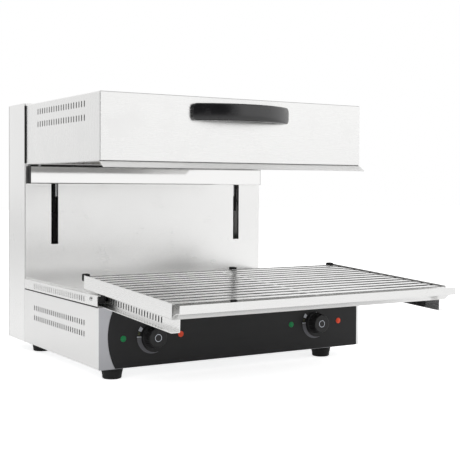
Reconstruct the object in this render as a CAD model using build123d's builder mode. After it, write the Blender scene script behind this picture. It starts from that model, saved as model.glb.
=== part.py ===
from build123d import *
from math import cos, radians, sin
import os

# Rise-and-fall cheese melter: a base with the controls, a column at the back, a heated
# head that slides up and down the column, and a grid tray that slides out of the base.
# Millimetres. +X is right as seen from the front, +Y points to the back, +Z is up.
# The origin is on the worktop, at the middle of the footprint with the tray pulled out.

os.makedirs("parts", exist_ok=True)

# ------------------------------------------------------------------ driving dimensions
# Body
BODY_WIDTH = 600.0
BODY_DEPTH = 486.0
OVERALL_HEIGHT = 530.0
COLUMN_DEPTH = 100.0
BASE_HEIGHT = 114.0
SHEET = 1.2
BEND = 2.0
FLANGE = 12.0

# Feet
FOOT_HEIGHT = 20.0
FOOT_TOP_DIAMETER = 41.0
FOOT_BOTTOM_DIAMETER = 35.0
FOOT_FROM_LEFT = 36.0
FOOT_FROM_RIGHT = 84.0
FOOT_FROM_FRONT = 22.0
FOOT_SPACING_Y = 358.0
FOOT_RECESS_DEPTH = 8.0

# Screws
SCREW_DIAMETER = 4.0
SCREW_HEAD_DIAMETER = 8.0
SCREW_HEAD_HEIGHT = 2.4
SCREW_GRIP = 7.0

# Ventilation slots
VENT_WIDTH = 4.0
BASE_VENT_HEIGHT = 11.0
BASE_VENT_COUNT = 25
BASE_VENT_PITCH = 10.8
BASE_VENT_START = 68.0
BASE_VENT_TOP_DROP = 34.5
BASE_VENT_ROW_PITCH = 20.8
HEAD_VENT_HEIGHT = 12.2
HEAD_VENT_COUNT = 20
HEAD_VENT_PITCH = 12.6
HEAD_VENT_START = 70.0
HEAD_VENT_TOP_DROP = 19.0
HEAD_VENT_ROW_PITCH = 25.8
RUNNER_VENT_HEIGHT = 11.0
RAIL_VENT_COUNT = 26
RAIL_VENT_PITCH = 10.3
RAIL_VENT_SETBACK = 61.0
BACK_VENT_COUNT = 24
BACK_VENT_PITCH = 18.0
BACK_VENT_HEIGHT = 24.0
BACK_VENT_TOP_DROP = 40.0
BACK_VENT_DROPS = (0.0, 40.0, 400.0)

# Controls
FASCIA = 1.5
OVERLAY = 0.8
OVERLAY_TOP_MARGIN = 2.0
OVERLAY_BOTTOM_MARGIN = 0.6
OVERLAY_RIGHT_MARGIN = 7.0
OVERLAY_LEFT_MARGIN = 17.5
OVERLAY_CURVE_TOP = 12.0
OVERLAY_CURVE_BOTTOM = 14.5
OVERLAY_CURVE_PEAK_DROP = 57.0
CONTROL_DROP = 59.5
CONTROL_OFFSET = -4.0
CONTROL_SPACING = 60.0
KNOB_DIAMETER = 41.0
KNOB_FACE_DIAMETER = 36.0
KNOB_LENGTH = 24.0
KNOB_SKIRT_DIAMETER = 44.0
KNOB_SKIRT = 4.0
KNOB_GRIP_RIBS = 24
KNOB_GRIP_RIB_DEPTH = 0.7
KNOB_GRIP_RIB_WIDTH = 1.6
KNOB_BADGE_DIAMETER = 17.0
KNOB_BADGE_DEPTH = 0.6
SHAFT_DIAMETER = 6.0
SHAFT_HOLE_DIAMETER = 8.0
REGULATOR_SIZE = 42.0
REGULATOR_DEPTH = 32.0
REGULATOR_BUSH_DIAMETER = 7.4
LAMP_FROM_SIDE = 52.0
LAMP_LENS_DIAMETER = 11.5
LAMP_BODY_DIAMETER = 9.0
LAMP_BODY_LENGTH = 22.0
LAMP_PROUD = 2.2

# Terminal block and cable gland at the back of the base
TERMINAL_LENGTH = 74.0
TERMINAL_WIDTH = 26.0
TERMINAL_HEIGHT = 22.0
TERMINAL_FROM_SIDE = 150.0
TERMINAL_POLES = 6
TERMINAL_HOLE_DIAMETER = 6.2
GLAND_FROM_SIDE = 90.0
GLAND_Z = 62.0
GLAND_DIAMETER = 22.0
GLAND_REACH = 14.0
GLAND_BORE = 9.0
GLAND_THREAD_DIAMETER = 16.0
GLAND_NUT_SHARE = 0.45

# Runners of the tray, on top of the base
RUNNER_HEIGHT = 21.0
RUNNER_FLANGE = 18.5
RUNNER_SETBACK = 8.0
RUNNER_FOOT = 5.0
STOP_LENGTH = 51.0
STOP_SETBACK = 3.0
STOP_HEIGHT = 12.0
GLIDE_LENGTH = 14.0
GLIDE_THICKNESS = 1.3
GLIDE_WIDTH = 10.0
GLIDE_INSET = 7.0
GLIDE_LIFT = 0.1
GLIDE_HOOK = 3.0

# Tray, measured along itself from the front edge of the runners
DROOP = 2.9
TRAY_OUT = 273.0
TRAY_LENGTH = 348.0
TRAY_SIDE_INSET = 6.0
TRAY_SIDE_HEIGHT = 26.0
RAIL_STEP = 14.5
RAIL_DROP = 21.5
RAIL_GLIDE_LENGTH = 20.0
RAIL_GLIDE_HEIGHT = 11.3
RAIL_GLIDE_INSET = 2.2
PULL_REACH = 26.0
PULL_RISE = 12.5
PULL_LIP = 14.0
COVE_SHARE = 0.35
FRONT_WALL_HEIGHT = 24.0
PAN_FLOOR = 7.0
PAN_HEIGHT = 10.5
PAN_SHEET = 1.0
PAN_RIM = 8.0
PAN_CORNER = 10.0
BEARER_WIDTH = 24.0
BEARER_INSET = 45.0
BUFFER_LENGTH = 12.0
BUFFER_WIDTH = 12.0
BUFFER_HEIGHT = 14.0
BUFFER_BASE = 14.0
BUFFER_MID_X = 38.0
CLIP_FROM_SIDE = 121.0
CLIP_WIDTH = 12.0
CLIP_LENGTH = 6.0
CLIP_HEIGHT = 8.0
CLIP_CAP = 2.0

# Cooking grid
GRID_BAR_COUNT = 13
GRID_BAR_PITCH = 26.0
GRID_BAR_WIDTH = 13.0
GRID_BAR_THICKNESS = 2.0
GRID_STRAP_WIDTH = 8.0
GRID_STRAP_THICKNESS = 4.0
GRID_SIDE_GAP = 1.5

# Column
SLOT_FROM_SIDE = 68.0
SLOT_WIDTH = 16.0
SLOT_SPARE = 47.0
SLOT_END_GAP = 5.0
CAP_LIP = 8.0
COVER_SCREW_ROWS = 4
COVER_SCREW_END = 14.4

# Head
HEAD_WIDTH = 598.0
HEAD_DEPTH = 380.0
HEAD_HEIGHT = 125.0
HEAD_TOP_DROP = 4.0
HEAD_SHEET = 1.0
FRAME_BORDER = 26.0
FRAME_REAR_BORDER = 48.0
LIP_SETBACK = 4.0
LIP_REACH = 15.0
LIP_DROP = 12.0
REFLECTOR_DEPTH = 30.0
REFLECTOR_TAPER = 24.0
REFLECTOR_RIM = 8.0
REFLECTOR_LAP = 4.0
INSULATION = 25.0
ELEMENT_DIAMETER = 8.0
ELEMENT_RUNS = 6
ELEMENT_PITCH = 46.0
ELEMENT_BEND = 20.0
ELEMENT_END_BEND = 12.0
ELEMENT_LENGTH = 224.0
ELEMENT_DROP = 14.0
ELEMENT_GAP = 22.0
ELEMENT_STUB = 14.0
COMB_THICKNESS = 2.0
COMB_INSETS = (40.0, 184.0)

# Handle on the head
HANDLE_LENGTH = 220.0
HANDLE_HEIGHT = 33.0
HANDLE_REACH = 46.0
HANDLE_END_REACH = 8.0
HANDLE_THICKNESS = 11.0
HANDLE_POCKET_END = 9.0
HANDLE_CENTRE_DROP = 30.0
HANDLE_FOOT = 20.0
HANDLE_CORNER = 7.0
HANDLE_EDGE = 2.5

# Crossbar that covers the slots
CROSSBAR_HEIGHT = 37.0
CROSSBAR_DEPTH = 15.0
CROSSBAR_TO_COLUMN = 0.7
CROSSBAR_END_INSET = 8.5
CROSSBAR_GAP = 4.0
CROSSBAR_SCREWS = 4
CROSSBAR_SCREW_PITCH = 181.0
CROSSBAR_SCREW_SETBACK = 5.0

# Lift gear in the column
HEAD_TRAVEL = 130.0
ARM_THICKNESS = 6.0
ARM_PAD_WIDTH = 40.0
ARM_PAD_THICKNESS = 3.0
ARM_TOP_DROP = 30.0
ARM_PAD_LIFT = 4.0
ARM_BELOW_BEAM = 34.0
ARM_INSIDE_GAP = 3.0
ARM_SCREW_END = 12.0
ARM_SCREW_SPREAD = 12.0
ROD_DIAMETER = 14.0
ROD_BEHIND_FRONT = 54.0
ROD_END_GAP = 7.0
BUSH_WALL = 3.0
BUSH_LENGTH = 30.0
HOUSING_WALL = 5.0
BRACKET_HEIGHT = 14.0
BRACKET_WIDTH = 36.0
BRACKET_CAP = 3.0
BEAM_SIZE = 30.0
BEAM_WALL = 2.0
GAS_FROM_SLOT = 82.0
GAS_CYLINDER_DIAMETER = 22.0
GAS_CYLINDER_WALL = 2.5
GAS_CYLINDER_BOTTOM = 30.0
GAS_END_WALL = 5.0
GAS_ROD_DIAMETER = 8.0
GAS_PISTON = 8.0
GAS_PISTON_GAP = 4.0
GAS_CUP_DIAMETER = 14.0
GAS_CUP_LENGTH = 12.0

# Clearances
GAP = 0.3
RUNNING = 0.05
SIDE_PLAY = 1.2
STOP_GAP = 0.8
PARK_GAP = 2.0

# ------------------------------------------------------------------ places
DROOP_SIN = sin(radians(DROOP))
DROOP_COS = cos(radians(DROOP))

BASE_BOTTOM_Z = FOOT_HEIGHT
BASE_TOP_Z = BASE_BOTTOM_Z + BASE_HEIGHT
RUNNER_TOP_Z = BASE_TOP_Z + RUNNER_HEIGHT
HEAD_TOP_Z = OVERALL_HEIGHT - HEAD_TOP_DROP
HEAD_BOTTOM_Z = HEAD_TOP_Z - HEAD_HEIGHT
FRAME_BOTTOM_Z = HEAD_BOTTOM_Z - SHEET
CONTROL_Z = BASE_TOP_Z - CONTROL_DROP
INSIDE_FLOOR_Z = BASE_BOTTOM_Z + SHEET
HALF_WIDTH = BODY_WIDTH / 2
LAMP_OUTER_X = HALF_WIDTH - LAMP_FROM_SIDE
KNOB_X = LAMP_OUTER_X - CONTROL_SPACING
LAMP_INNER_X = KNOB_X - CONTROL_SPACING
SLOT_X = HALF_WIDTH - SLOT_FROM_SIDE
GAS_X = SLOT_X - GAS_FROM_SLOT

# Tray heights are counted from the runners' top: the rails' step rides on the glides
RAIL_UNDERSIDE = GLIDE_THICKNESS + GAP
TRAY_SIDE_TOP = RAIL_UNDERSIDE + TRAY_SIDE_HEIGHT
TRAY_FRONT = -TRAY_OUT
TRAY_REAR = TRAY_FRONT + TRAY_LENGTH
LIP_FRONT = TRAY_FRONT - PULL_REACH
LIP_TOP = RAIL_UNDERSIDE + PULL_RISE + PULL_LIP
TRAY_HALF_WIDTH = HALF_WIDTH - TRAY_SIDE_INSET

FRONT_REACH = -LIP_FRONT * DROOP_COS + LIP_TOP * DROOP_SIN - RUNNER_SETBACK
BODY_FRONT_Y = (FRONT_REACH - BODY_DEPTH - GLAND_REACH) / 2
BODY_BACK_Y = BODY_FRONT_Y + BODY_DEPTH
COLUMN_FRONT_Y = BODY_BACK_Y - COLUMN_DEPTH
FASCIA_BACK_Y = BODY_FRONT_Y + FASCIA
HEAD_BACK_Y = BODY_FRONT_Y + HEAD_DEPTH
PIVOT_Y = BODY_FRONT_Y + RUNNER_SETBACK
ROD_Y = COLUMN_FRONT_Y + ROD_BEHIND_FRONT
ARM_INSIDE_Y = COLUMN_FRONT_Y + SHEET + ARM_INSIDE_GAP
BEAM_Y = ARM_INSIDE_Y + BEAM_SIZE / 2

# Heights of the lift gear: the gas springs set the beam, and the head sets the arms' tops
GAS_END = GAS_END_WALL + GAS_PISTON_GAP
GAS_CYLINDER_LENGTH = GAS_PISTON + HEAD_TRAVEL + 2 * GAS_END
GAS_CYLINDER_TOP = GAS_CYLINDER_BOTTOM + GAS_CYLINDER_LENGTH
BEAM_BOTTOM = GAS_CYLINDER_TOP + PARK_GAP + HEAD_TRAVEL + GAS_CUP_LENGTH
ARM_BOTTOM = BEAM_BOTTOM - ARM_BELOW_BEAM
ARM_PAD_BOTTOM = HEAD_BOTTOM_Z + ARM_PAD_LIFT
ARM_TOP = HEAD_TOP_Z - ARM_TOP_DROP
ROD_BOTTOM = ARM_BOTTOM - HEAD_TRAVEL - ROD_END_GAP - BRACKET_HEIGHT + BRACKET_CAP
ROD_TOP = ARM_TOP + ROD_END_GAP + BRACKET_HEIGHT - BRACKET_CAP
SLOT_BOTTOM = ARM_PAD_BOTTOM - HEAD_TRAVEL - SLOT_SPARE
SLOT_TOP_Z = ARM_TOP + SLOT_END_GAP

TRAY_FRAME = Location((0, PIVOT_Y, RUNNER_TOP_Z), (DROOP, 0, 0))

SIDES = {"left": -1, "right": 1}
QUARTER_TURN = 90.0


# ------------------------------------------------------------------ helpers
def level(z):
    """Horizontal plane at height z."""
    return Plane.XY.offset(z)


def upright(y):
    """Vertical plane across the body at y, drawn as seen from the front."""
    return Plane.XZ.offset(-y)


def lengthways(x):
    """Vertical plane from front to back at x: the sketch's x is Y and its y is Z."""
    return Plane.YZ.offset(x)


def rearwards(y):
    """Vertical plane across the body at y that faces the back: the sketch's x is -X."""
    return Plane((0, y, 0), x_dir=(-1, 0, 0), z_dir=(0, 1, 0))


def outwards(side, distance):
    """Vertical plane that faces away from the middle: the sketch's x is Y times the side."""
    return Plane((side * distance, 0, 0), x_dir=(0, side, 0), z_dir=(side, 0, 0))


def on_tray(plane):
    """The same plane, laid on the drooping tray and counted from the runners' front edge."""
    return Plane(TRAY_FRAME * plane.location)


def folded(plane, points, thickness, length, bend=BEND):
    """Sheet folded along a profile. The points lie on the middle of its thickness."""
    with BuildSketch(plane) as profile:
        with BuildLine():
            FilletPolyline(*points, radius=bend)
        trace(line_width=thickness)
    extrude(profile.sketch, amount=length)


def block(plane, across, along, height, mode=Mode.ADD):
    """Straight block on a plane, between two limits each way in the plane."""
    with BuildSketch(plane) as outline:
        with Locations((sum(across) / 2, sum(along) / 2)):
            Rectangle(across[1] - across[0], along[1] - along[0])
    extrude(outline.sketch, amount=height, mode=mode)


def side_range(side, inner, outer):
    """The two x limits of a piece on the left or the right, from its distances to the middle."""
    return sorted((side * inner, side * outer))


def slots_through(plane, centres, size, depth):
    """Row of upright round-ended slots cut both ways through whatever stands at the plane."""
    width, height = size
    with BuildSketch(plane) as row:
        with Locations(*centres):
            SlotOverall(height, width, rotation=QUARTER_TURN)
    extrude(row.sketch, amount=depth, both=True, mode=Mode.SUBTRACT)


def bores(plane, centres, diameter, depth):
    """Round holes cut from a plane."""
    with BuildSketch(plane) as holes:
        with Locations(*centres):
            Circle(diameter / 2)
    extrude(holes.sketch, amount=depth, mode=Mode.SUBTRACT)


def rods(plane, centres, diameter, length):
    """Round rods standing on a plane."""
    with BuildSketch(plane) as ends:
        with Locations(*centres):
            Circle(diameter / 2)
    extrude(ends.sketch, amount=length)


def screws(plane, centres, grip):
    """Pan-head screws: heads stand on the plane, and shanks run back through it."""
    with BuildSketch(plane) as heads:
        with Locations(*centres):
            Circle(SCREW_HEAD_DIAMETER / 2)
    extrude(heads.sketch, amount=SCREW_HEAD_HEIGHT)
    with BuildSketch(plane) as shanks:
        with Locations(*centres):
            Circle(SCREW_DIAMETER / 2)
    extrude(shanks.sketch, amount=-grip)


def save(piece, label):
    """Name a finished piece and write it."""
    piece.part.label = label
    export_step(piece.part, f"parts/{label}.step")


# ------------------------------------------------------------------ base
SCREW_HOLE = SCREW_DIAMETER + 2 * GAP
FOOT_PLACES = [
    (x, BODY_FRONT_Y + y)
    for x in (FOOT_FROM_LEFT - HALF_WIDTH, HALF_WIDTH - FOOT_FROM_RIGHT)
    for y in (FOOT_FROM_FRONT, FOOT_FROM_FRONT + FOOT_SPACING_Y)
]
BASE_VENT_ROWS = [
    BASE_TOP_Z - BASE_VENT_TOP_DROP - row * BASE_VENT_ROW_PITCH for row in range(2)
]
BASE_VENT_Y = [
    BODY_FRONT_Y + BASE_VENT_START + i * BASE_VENT_PITCH for i in range(BASE_VENT_COUNT)
]
MID = SHEET / 2

with BuildPart() as base_shell:
    folded(
        upright(COLUMN_FRONT_Y),
        [
            (FLANGE - HALF_WIDTH, BASE_BOTTOM_Z + MID),
            (MID - HALF_WIDTH, BASE_BOTTOM_Z + MID),
            (MID - HALF_WIDTH, BASE_TOP_Z - MID),
            (HALF_WIDTH - MID, BASE_TOP_Z - MID),
            (HALF_WIDTH - MID, BASE_BOTTOM_Z + MID),
            (HALF_WIDTH - FLANGE, BASE_BOTTOM_Z + MID),
        ],
        SHEET,
        COLUMN_FRONT_Y - FASCIA_BACK_Y,
    )
    slots_through(
        Plane.YZ,
        [(y, z) for y in BASE_VENT_Y for z in BASE_VENT_ROWS],
        (VENT_WIDTH, BASE_VENT_HEIGHT),
        BODY_WIDTH,
    )
save(base_shell, "base_shell")

KNOB_PLACES = {name: CONTROL_OFFSET + side * KNOB_X for name, side in SIDES.items()}
LAMP_PLACES = {
    "green": [(CONTROL_OFFSET + x, CONTROL_Z) for x in (-LAMP_OUTER_X, LAMP_INNER_X)],
    "orange": [(CONTROL_OFFSET + x, CONTROL_Z) for x in (-LAMP_INNER_X, LAMP_OUTER_X)],
}
LAMP_HOLE = LAMP_BODY_DIAMETER + 2 * GAP


def control_holes(plane, depth):
    """Holes for the regulators' shafts and for the lamps."""
    shafts = [(x, CONTROL_Z) for x in KNOB_PLACES.values()]
    bores(plane, shafts, SHAFT_HOLE_DIAMETER, depth)
    bores(plane, LAMP_PLACES["green"] + LAMP_PLACES["orange"], LAMP_HOLE, depth)


with BuildPart() as front_fascia:
    block(
        upright(FASCIA_BACK_Y),
        (-HALF_WIDTH, HALF_WIDTH),
        (BASE_BOTTOM_Z, BASE_TOP_Z),
        FASCIA,
    )
    control_holes(upright(FASCIA_BACK_Y), FASCIA)
save(front_fascia, "front_fascia")

OVERLAY_LEFT_X = OVERLAY_LEFT_MARGIN - HALF_WIDTH
OVERLAY_RIGHT_X = HALF_WIDTH - OVERLAY_RIGHT_MARGIN
OVERLAY_TOP_Z = BASE_TOP_Z - OVERLAY_TOP_MARGIN
OVERLAY_BOTTOM_Z = BASE_BOTTOM_Z + OVERLAY_BOTTOM_MARGIN
with BuildPart() as control_overlay:
    with BuildSketch(upright(BODY_FRONT_Y)):
        with BuildLine():
            ThreePointArc(
                (OVERLAY_LEFT_X + OVERLAY_CURVE_TOP, OVERLAY_TOP_Z),
                (OVERLAY_LEFT_X, BASE_TOP_Z - OVERLAY_CURVE_PEAK_DROP),
                (OVERLAY_LEFT_X + OVERLAY_CURVE_BOTTOM, OVERLAY_BOTTOM_Z),
            )
            Polyline(
                (OVERLAY_LEFT_X + OVERLAY_CURVE_BOTTOM, OVERLAY_BOTTOM_Z),
                (OVERLAY_RIGHT_X, OVERLAY_BOTTOM_Z),
                (OVERLAY_RIGHT_X, OVERLAY_TOP_Z),
                (OVERLAY_LEFT_X + OVERLAY_CURVE_TOP, OVERLAY_TOP_Z),
            )
        make_face()
    extrude(amount=OVERLAY)
    control_holes(upright(BODY_FRONT_Y), OVERLAY)
save(control_overlay, "control_overlay")

with BuildPart() as floor_pan:
    block(
        level(BASE_BOTTOM_Z),
        (FLANGE - HALF_WIDTH, HALF_WIDTH - FLANGE),
        (FASCIA_BACK_Y, BODY_BACK_Y - SHEET),
        SHEET,
    )
    bores(level(BASE_BOTTOM_Z), FOOT_PLACES, SCREW_HOLE, SHEET)
save(floor_pan, "floor_pan")

FOOT_TAPER = (FOOT_TOP_DIAMETER - FOOT_BOTTOM_DIAMETER) / 2
with BuildPart() as feet:
    for foot_x, foot_y in FOOT_PLACES:
        with BuildSketch(
            Plane((foot_x, foot_y, 0), z_dir=(0, -1, 0), x_dir=(1, 0, 0))
        ) as foot_profile:
            with BuildLine():
                Polyline(
                    (0, 0),
                    (FOOT_BOTTOM_DIAMETER / 2, 0),
                    (FOOT_TOP_DIAMETER / 2, FOOT_HEIGHT - FOOT_TAPER),
                    (FOOT_TOP_DIAMETER / 2, FOOT_HEIGHT),
                    (0, FOOT_HEIGHT),
                    close=True,
                )
            make_face()
        revolve(foot_profile.sketch, axis=Axis((foot_x, foot_y, 0), (0, 0, 1)))
    bores(level(0), FOOT_PLACES, SCREW_HEAD_DIAMETER + 2 * GAP, FOOT_RECESS_DEPTH)
    bores(level(0), FOOT_PLACES, SCREW_HOLE, FOOT_HEIGHT)
save(feet, "feet")

with BuildPart() as foot_screws:
    screws(
        Plane((0, 0, FOOT_RECESS_DEPTH), x_dir=(1, 0, 0), z_dir=(0, 0, -1)),
        [(x, -y) for x, y in FOOT_PLACES],
        FOOT_HEIGHT + SHEET + SCREW_GRIP - FOOT_RECESS_DEPTH,
    )
save(foot_screws, "foot_screws")

# ------------------------------------------------------------------ controls
for side_name, knob_x in KNOB_PLACES.items():
    with BuildPart() as regulator:
        block(
            upright(FASCIA_BACK_Y + REGULATOR_DEPTH),
            (knob_x - REGULATOR_SIZE / 2, knob_x + REGULATOR_SIZE / 2),
            (CONTROL_Z - REGULATOR_SIZE / 2, CONTROL_Z + REGULATOR_SIZE / 2),
            REGULATOR_DEPTH,
        )
        fillet(regulator.edges().filter_by(Axis.Y), BEND)
        rods(
            upright(FASCIA_BACK_Y),
            [(knob_x, CONTROL_Z)],
            REGULATOR_BUSH_DIAMETER,
            FASCIA,
        )
        bores(
            upright(FASCIA_BACK_Y + REGULATOR_DEPTH / 2),
            [(knob_x, CONTROL_Z)],
            SHAFT_DIAMETER + 2 * RUNNING,
            REGULATOR_DEPTH,
        )
    save(regulator, f"energy_regulator_{side_name}")

    SHAFT_BACK_Y = FASCIA_BACK_Y + REGULATOR_DEPTH / 2 - GAP
    KNOB_BACK_Y = BODY_FRONT_Y - OVERLAY - GAP
    SHAFT_FRONT_Y = KNOB_BACK_Y - KNOB_LENGTH / 2
    with BuildPart() as shaft:
        rods(
            upright(SHAFT_BACK_Y),
            [(knob_x, CONTROL_Z)],
            SHAFT_DIAMETER,
            SHAFT_BACK_Y - SHAFT_FRONT_Y,
        )
    save(shaft, f"regulator_shaft_{side_name}")

    with BuildPart() as knob:
        with BuildSketch(upright(KNOB_BACK_Y)):
            with Locations((knob_x, CONTROL_Z)):
                Circle(KNOB_SKIRT_DIAMETER / 2)
        extrude(amount=KNOB_SKIRT)
        with BuildSketch(upright(KNOB_BACK_Y - KNOB_SKIRT)):
            with Locations((knob_x, CONTROL_Z)):
                Circle(KNOB_DIAMETER / 2)
        with BuildSketch(upright(KNOB_BACK_Y - KNOB_LENGTH)):
            with Locations((knob_x, CONTROL_Z)):
                Circle(KNOB_FACE_DIAMETER / 2)
        loft()
        fillet(knob.faces().sort_by(Axis.Y)[0].edges(), BEND)
        with BuildSketch(upright(KNOB_BACK_Y - KNOB_SKIRT)) as ribs:
            with Locations((knob_x, CONTROL_Z)):
                with PolarLocations(KNOB_DIAMETER / 2, KNOB_GRIP_RIBS):
                    Rectangle(2 * KNOB_GRIP_RIB_DEPTH, KNOB_GRIP_RIB_WIDTH)
        extrude(ribs.sketch, amount=KNOB_LENGTH / 2, mode=Mode.SUBTRACT)
        bores(
            upright(KNOB_BACK_Y - KNOB_LENGTH + KNOB_BADGE_DEPTH),
            [(knob_x, CONTROL_Z)],
            KNOB_BADGE_DIAMETER,
            KNOB_LENGTH,
        )
        bores(
            upright(KNOB_BACK_Y),
            [(knob_x, CONTROL_Z)],
            SHAFT_DIAMETER,
            KNOB_LENGTH / 2,
        )
    save(knob, f"knob_{side_name}")

for colour, lamp_places in LAMP_PLACES.items():
    with BuildPart() as lamps:
        rods(
            upright(BODY_FRONT_Y - OVERLAY),
            lamp_places,
            LAMP_LENS_DIAMETER,
            LAMP_PROUD,
        )
        fillet(
            lamps.edges().group_by(Axis.Y)[0],
            LAMP_PROUD / 2,
        )
        rods(
            upright(BODY_FRONT_Y - OVERLAY + LAMP_BODY_LENGTH),
            lamp_places,
            LAMP_BODY_DIAMETER,
            LAMP_BODY_LENGTH,
        )
    save(lamps, f"{colour}_lamps")

TERMINAL_X = HALF_WIDTH - TERMINAL_FROM_SIDE
TERMINAL_Y = BODY_BACK_Y - COLUMN_DEPTH / 2
with BuildPart() as terminal_block:
    block(
        level(INSIDE_FLOOR_Z),
        (TERMINAL_X - TERMINAL_LENGTH / 2, TERMINAL_X + TERMINAL_LENGTH / 2),
        (TERMINAL_Y - TERMINAL_WIDTH / 2, TERMINAL_Y + TERMINAL_WIDTH / 2),
        TERMINAL_HEIGHT,
    )
    with BuildSketch(level(INSIDE_FLOOR_Z + TERMINAL_HEIGHT)):
        with Locations((TERMINAL_X, TERMINAL_Y)):
            with GridLocations(
                TERMINAL_LENGTH / TERMINAL_POLES,
                TERMINAL_WIDTH / 2,
                TERMINAL_POLES,
                2,
            ):
                Circle(TERMINAL_HOLE_DIAMETER / 2)
    extrude(amount=-TERMINAL_HEIGHT / 2, mode=Mode.SUBTRACT)
save(terminal_block, "terminal_block")

# ------------------------------------------------------------------ tray runners
RUNNER_LENGTH = COLUMN_FRONT_Y - PIVOT_Y - GAP
RUNNER_VENT_Z = BASE_TOP_Z + RUNNER_HEIGHT / 2
STOP_TOP_Z = RUNNER_TOP_Z - SHEET - STOP_GAP
STOP_SCREW_Y = PIVOT_Y + STOP_SETBACK + STOP_LENGTH / 2
STOP_SCREW_Z = STOP_TOP_Z - STOP_HEIGHT / 2
for side_name, side in SIDES.items():
    with BuildPart() as runner:
        folded(
            upright(PIVOT_Y + RUNNER_LENGTH),
            [
                (side * (HALF_WIDTH - RUNNER_FLANGE), RUNNER_TOP_Z - MID),
                (side * (HALF_WIDTH - MID), RUNNER_TOP_Z - MID),
                (side * (HALF_WIDTH - MID), BASE_TOP_Z + MID),
                (side * (HALF_WIDTH - RUNNER_FOOT), BASE_TOP_Z + MID),
            ],
            SHEET,
            RUNNER_LENGTH,
            bend=SHEET,
        )
        slots_through(
            lengthways(side * HALF_WIDTH),
            [(y, RUNNER_VENT_Z) for y in BASE_VENT_Y],
            (VENT_WIDTH, RUNNER_VENT_HEIGHT),
            2 * SHEET,
        )
        with BuildSketch(lengthways(side * HALF_WIDTH)) as screw_hole:
            with Locations((STOP_SCREW_Y, STOP_SCREW_Z)):
                Circle(SCREW_HOLE / 2)
        extrude(screw_hole.sketch, amount=2 * SHEET, both=True, mode=Mode.SUBTRACT)
    save(runner, f"tray_runner_{side_name}")

with BuildPart() as runner_stops:
    for side in SIDES.values():
        block(
            upright(PIVOT_Y + STOP_SETBACK + STOP_LENGTH),
            side_range(side, HALF_WIDTH - RUNNER_FLANGE + SIDE_PLAY, HALF_WIDTH - SHEET),
            (STOP_TOP_Z - STOP_HEIGHT, STOP_TOP_Z),
            STOP_LENGTH,
        )
        bores(
            outwards(side, HALF_WIDTH - SHEET - SCREW_GRIP),
            [(side * STOP_SCREW_Y, STOP_SCREW_Z)],
            SCREW_DIAMETER,
            SCREW_GRIP,
        )
save(runner_stops, "runner_stops")

with BuildPart() as runner_screws:
    for side in SIDES.values():
        screws(
            outwards(side, HALF_WIDTH),
            [(side * STOP_SCREW_Y, STOP_SCREW_Z)],
            SHEET + SCREW_GRIP,
        )
save(runner_screws, "runner_screws")

# ------------------------------------------------------------------ column
COLUMN_TOP_Z = OVERALL_HEIGHT - SHEET
COLUMN_FLANGE_Y = BODY_BACK_Y - SHEET - MID
COVER_SCREW_X = HALF_WIDTH - FLANGE / 2
COVER_SCREW_FIRST_Z = BASE_BOTTOM_Z + COVER_SCREW_END
COVER_SCREW_SPAN = COLUMN_TOP_Z - COVER_SCREW_END - COVER_SCREW_FIRST_Z
COVER_SCREW_Z = [
    COVER_SCREW_FIRST_Z + i * COVER_SCREW_SPAN / (COVER_SCREW_ROWS - 1)
    for i in range(COVER_SCREW_ROWS)
]
COVER_SCREW_PLACES = [(x, z) for x in (-COVER_SCREW_X, COVER_SCREW_X) for z in COVER_SCREW_Z]

with BuildPart() as column_shell:
    folded(
        level(BASE_BOTTOM_Z),
        [
            (FLANGE - HALF_WIDTH, COLUMN_FLANGE_Y),
            (MID - HALF_WIDTH, COLUMN_FLANGE_Y),
            (MID - HALF_WIDTH, COLUMN_FRONT_Y + MID),
            (HALF_WIDTH - MID, COLUMN_FRONT_Y + MID),
            (HALF_WIDTH - MID, COLUMN_FLANGE_Y),
            (HALF_WIDTH - FLANGE, COLUMN_FLANGE_Y),
        ],
        SHEET,
        COLUMN_TOP_Z - BASE_BOTTOM_Z,
    )
    block(
        level(BASE_BOTTOM_Z),
        (BEND + SHEET - HALF_WIDTH, HALF_WIDTH - BEND - SHEET),
        (COLUMN_FRONT_Y, COLUMN_FRONT_Y + SHEET),
        BASE_HEIGHT - SHEET,
        mode=Mode.SUBTRACT,
    )
    for side in SIDES.values():
        block(
            upright(COLUMN_FRONT_Y + SHEET),
            (side * SLOT_X - SLOT_WIDTH / 2, side * SLOT_X + SLOT_WIDTH / 2),
            (SLOT_BOTTOM, SLOT_TOP_Z),
            SHEET,
            mode=Mode.SUBTRACT,
        )
    bores(rearwards(BODY_BACK_Y - 2 * SHEET), COVER_SCREW_PLACES, SCREW_HOLE, SHEET)
save(column_shell, "column_shell")

with BuildPart() as top_cap:
    block(
        level(COLUMN_TOP_Z),
        (-HALF_WIDTH, HALF_WIDTH),
        (COLUMN_FRONT_Y, BODY_BACK_Y),
        SHEET,
    )
    block(
        level(COLUMN_TOP_Z - CAP_LIP),
        (FLANGE - HALF_WIDTH, HALF_WIDTH - FLANGE),
        (COLUMN_FRONT_Y + SHEET, COLUMN_FRONT_Y + 2 * SHEET),
        CAP_LIP,
    )
    block(
        level(COLUMN_TOP_Z - CAP_LIP),
        (FLANGE - HALF_WIDTH, HALF_WIDTH - FLANGE),
        (BODY_BACK_Y - 2 * SHEET, BODY_BACK_Y - SHEET),
        CAP_LIP,
    )
save(top_cap, "top_cap")

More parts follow.
